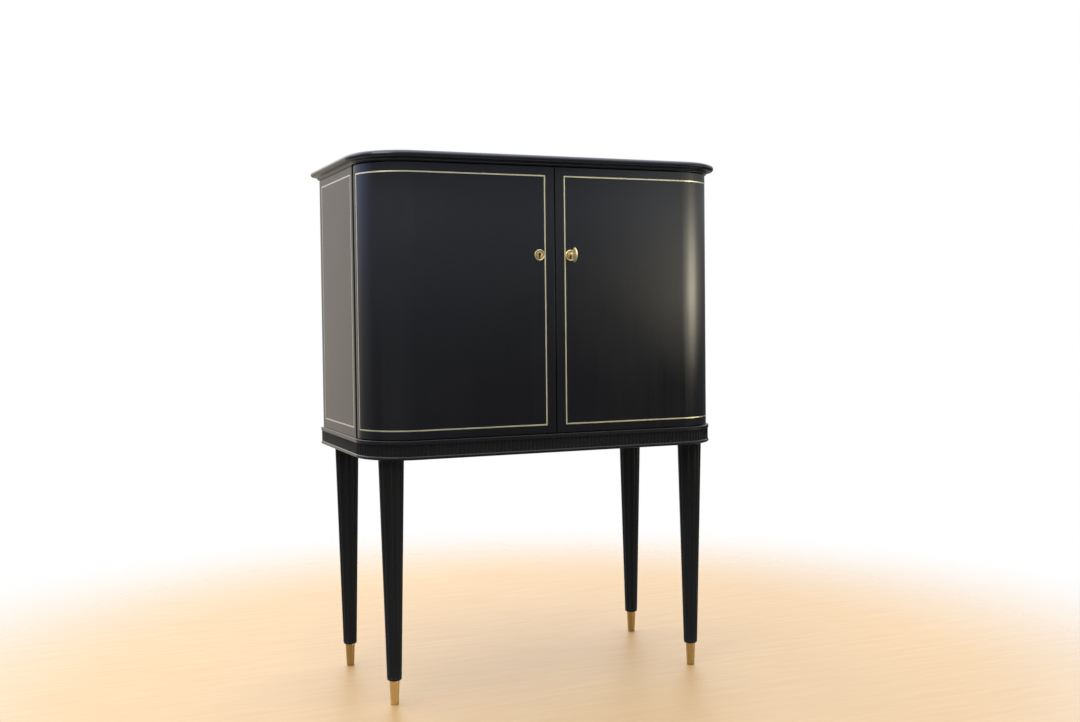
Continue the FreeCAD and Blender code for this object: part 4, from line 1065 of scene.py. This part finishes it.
high = wmath('MULTIPLY', wramp(turn_d, 19.0, 120.0, [(19.0, 0.0), (23.0, 0.08), (25.0, 0.22), (28.0, 0.55), (30.0, 0.72), (34.0, 0.6), (44.0, 0.4),
                                                     (60.0, 0.4), (75.0, 0.4), (90.0, 0.25), (105.0, 0.1), (120.0, 0.0)]),
             wramp(Z, 0.015, 0.2, [(0.015, 0.0), (0.04, 0.25), (0.06, 0.6), (0.085, 1.0), (0.11, 0.9), (0.14, 0.5), (0.2, 0.0)]))
high = wmath('MULTIPLY', high, 1.15)
surround = wadd(wadd(wadd(wadd(glow((0.90, 1.0, 1.2), front_l), glow((1.0, 0.98, 0.96), right_l)), wadd(glow((1.0, 0.98, 0.96), ground), glow((1.0, 1.0, 1.03), over))),
                     glow((0.93, 0.98, 1.10), above)),
                wadd(wadd(glow((1.0, 0.90, 0.75), behind), glow((1.0, 0.915, 0.69), low)),
                     wadd(wadd(glow((1.0, 1.0, 1.05), left_n), glow((0.2, 0.4, 1.4), left_b)), glow((0.97, 1.0, 1.06), high))))
white = wn('ShaderNodeBackground')
white.inputs['Color'].default_value = (1.0, 1.0, 1.0, 1.0)
white.inputs['Strength'].default_value = 1.0
path = wn('ShaderNodeLightPath')
wmix = wn('ShaderNodeMixShader')
wt.links.new(path.outputs['Is Camera Ray'], wmix.inputs['Fac'])
wt.links.new(surround, wmix.inputs[1])
wt.links.new(white.outputs['Background'], wmix.inputs[2])
wout = wn('ShaderNodeOutputWorld')
wt.links.new(wmix.outputs['Shader'], wout.inputs['Surface'])


def area(name, loc, target, size, power, color):
    d = bpy.data.lights.new(name, 'AREA')
    d.shape = 'RECTANGLE'
    d.size, d.size_y = size
    d.energy = power
    d.color = color
    o = bpy.data.objects.new(name, d)
    o.location = loc
    o.rotation_mode = 'QUATERNION'
    o.rotation_quaternion = (Vector(target) - Vector(loc)).to_track_quat('-Z', 'Y')
    SCENE.collection.objects.link(o)
    return o


area('key_light', (-2.6, -1.6, 3.0), (0, 0, 0.7), (2.2, 1.6), 50.0, (1.0, 0.98, 0.95))

# -------------------------------------------------------------------- camera
yaw, pitch, roll = -0.3963, 0.0369, -0.0111
right_v = Vector((math.cos(yaw), math.sin(yaw), 0.0))
fwd = Vector((-math.sin(yaw) * math.cos(pitch), math.cos(yaw) * math.cos(pitch), -math.sin(pitch)))
up_v = right_v.cross(fwd)
r2 = math.cos(roll) * right_v + math.sin(roll) * up_v
u2 = -math.sin(roll) * right_v + math.cos(roll) * up_v
cam_data = bpy.data.cameras.new('camera')
cam_data.lens, cam_data.sensor_width, cam_data.sensor_fit = 41.2838, 36.0, 'HORIZONTAL'
cam_data.clip_start, cam_data.clip_end = 0.05, 50.0
cam = bpy.data.objects.new('camera', cam_data)
cam.matrix_world = Matrix(((r2.x, u2.x, -fwd.x, -1.15871), (r2.y, u2.y, -fwd.y, -2.88237), (r2.z, u2.z, -fwd.z, 0.88807), (0, 0, 0, 1)))
SCENE.collection.objects.link(cam)
SCENE.camera = cam
SCENE.view_settings.view_transform = 'Standard'
SCENE.view_settings.look = 'None'
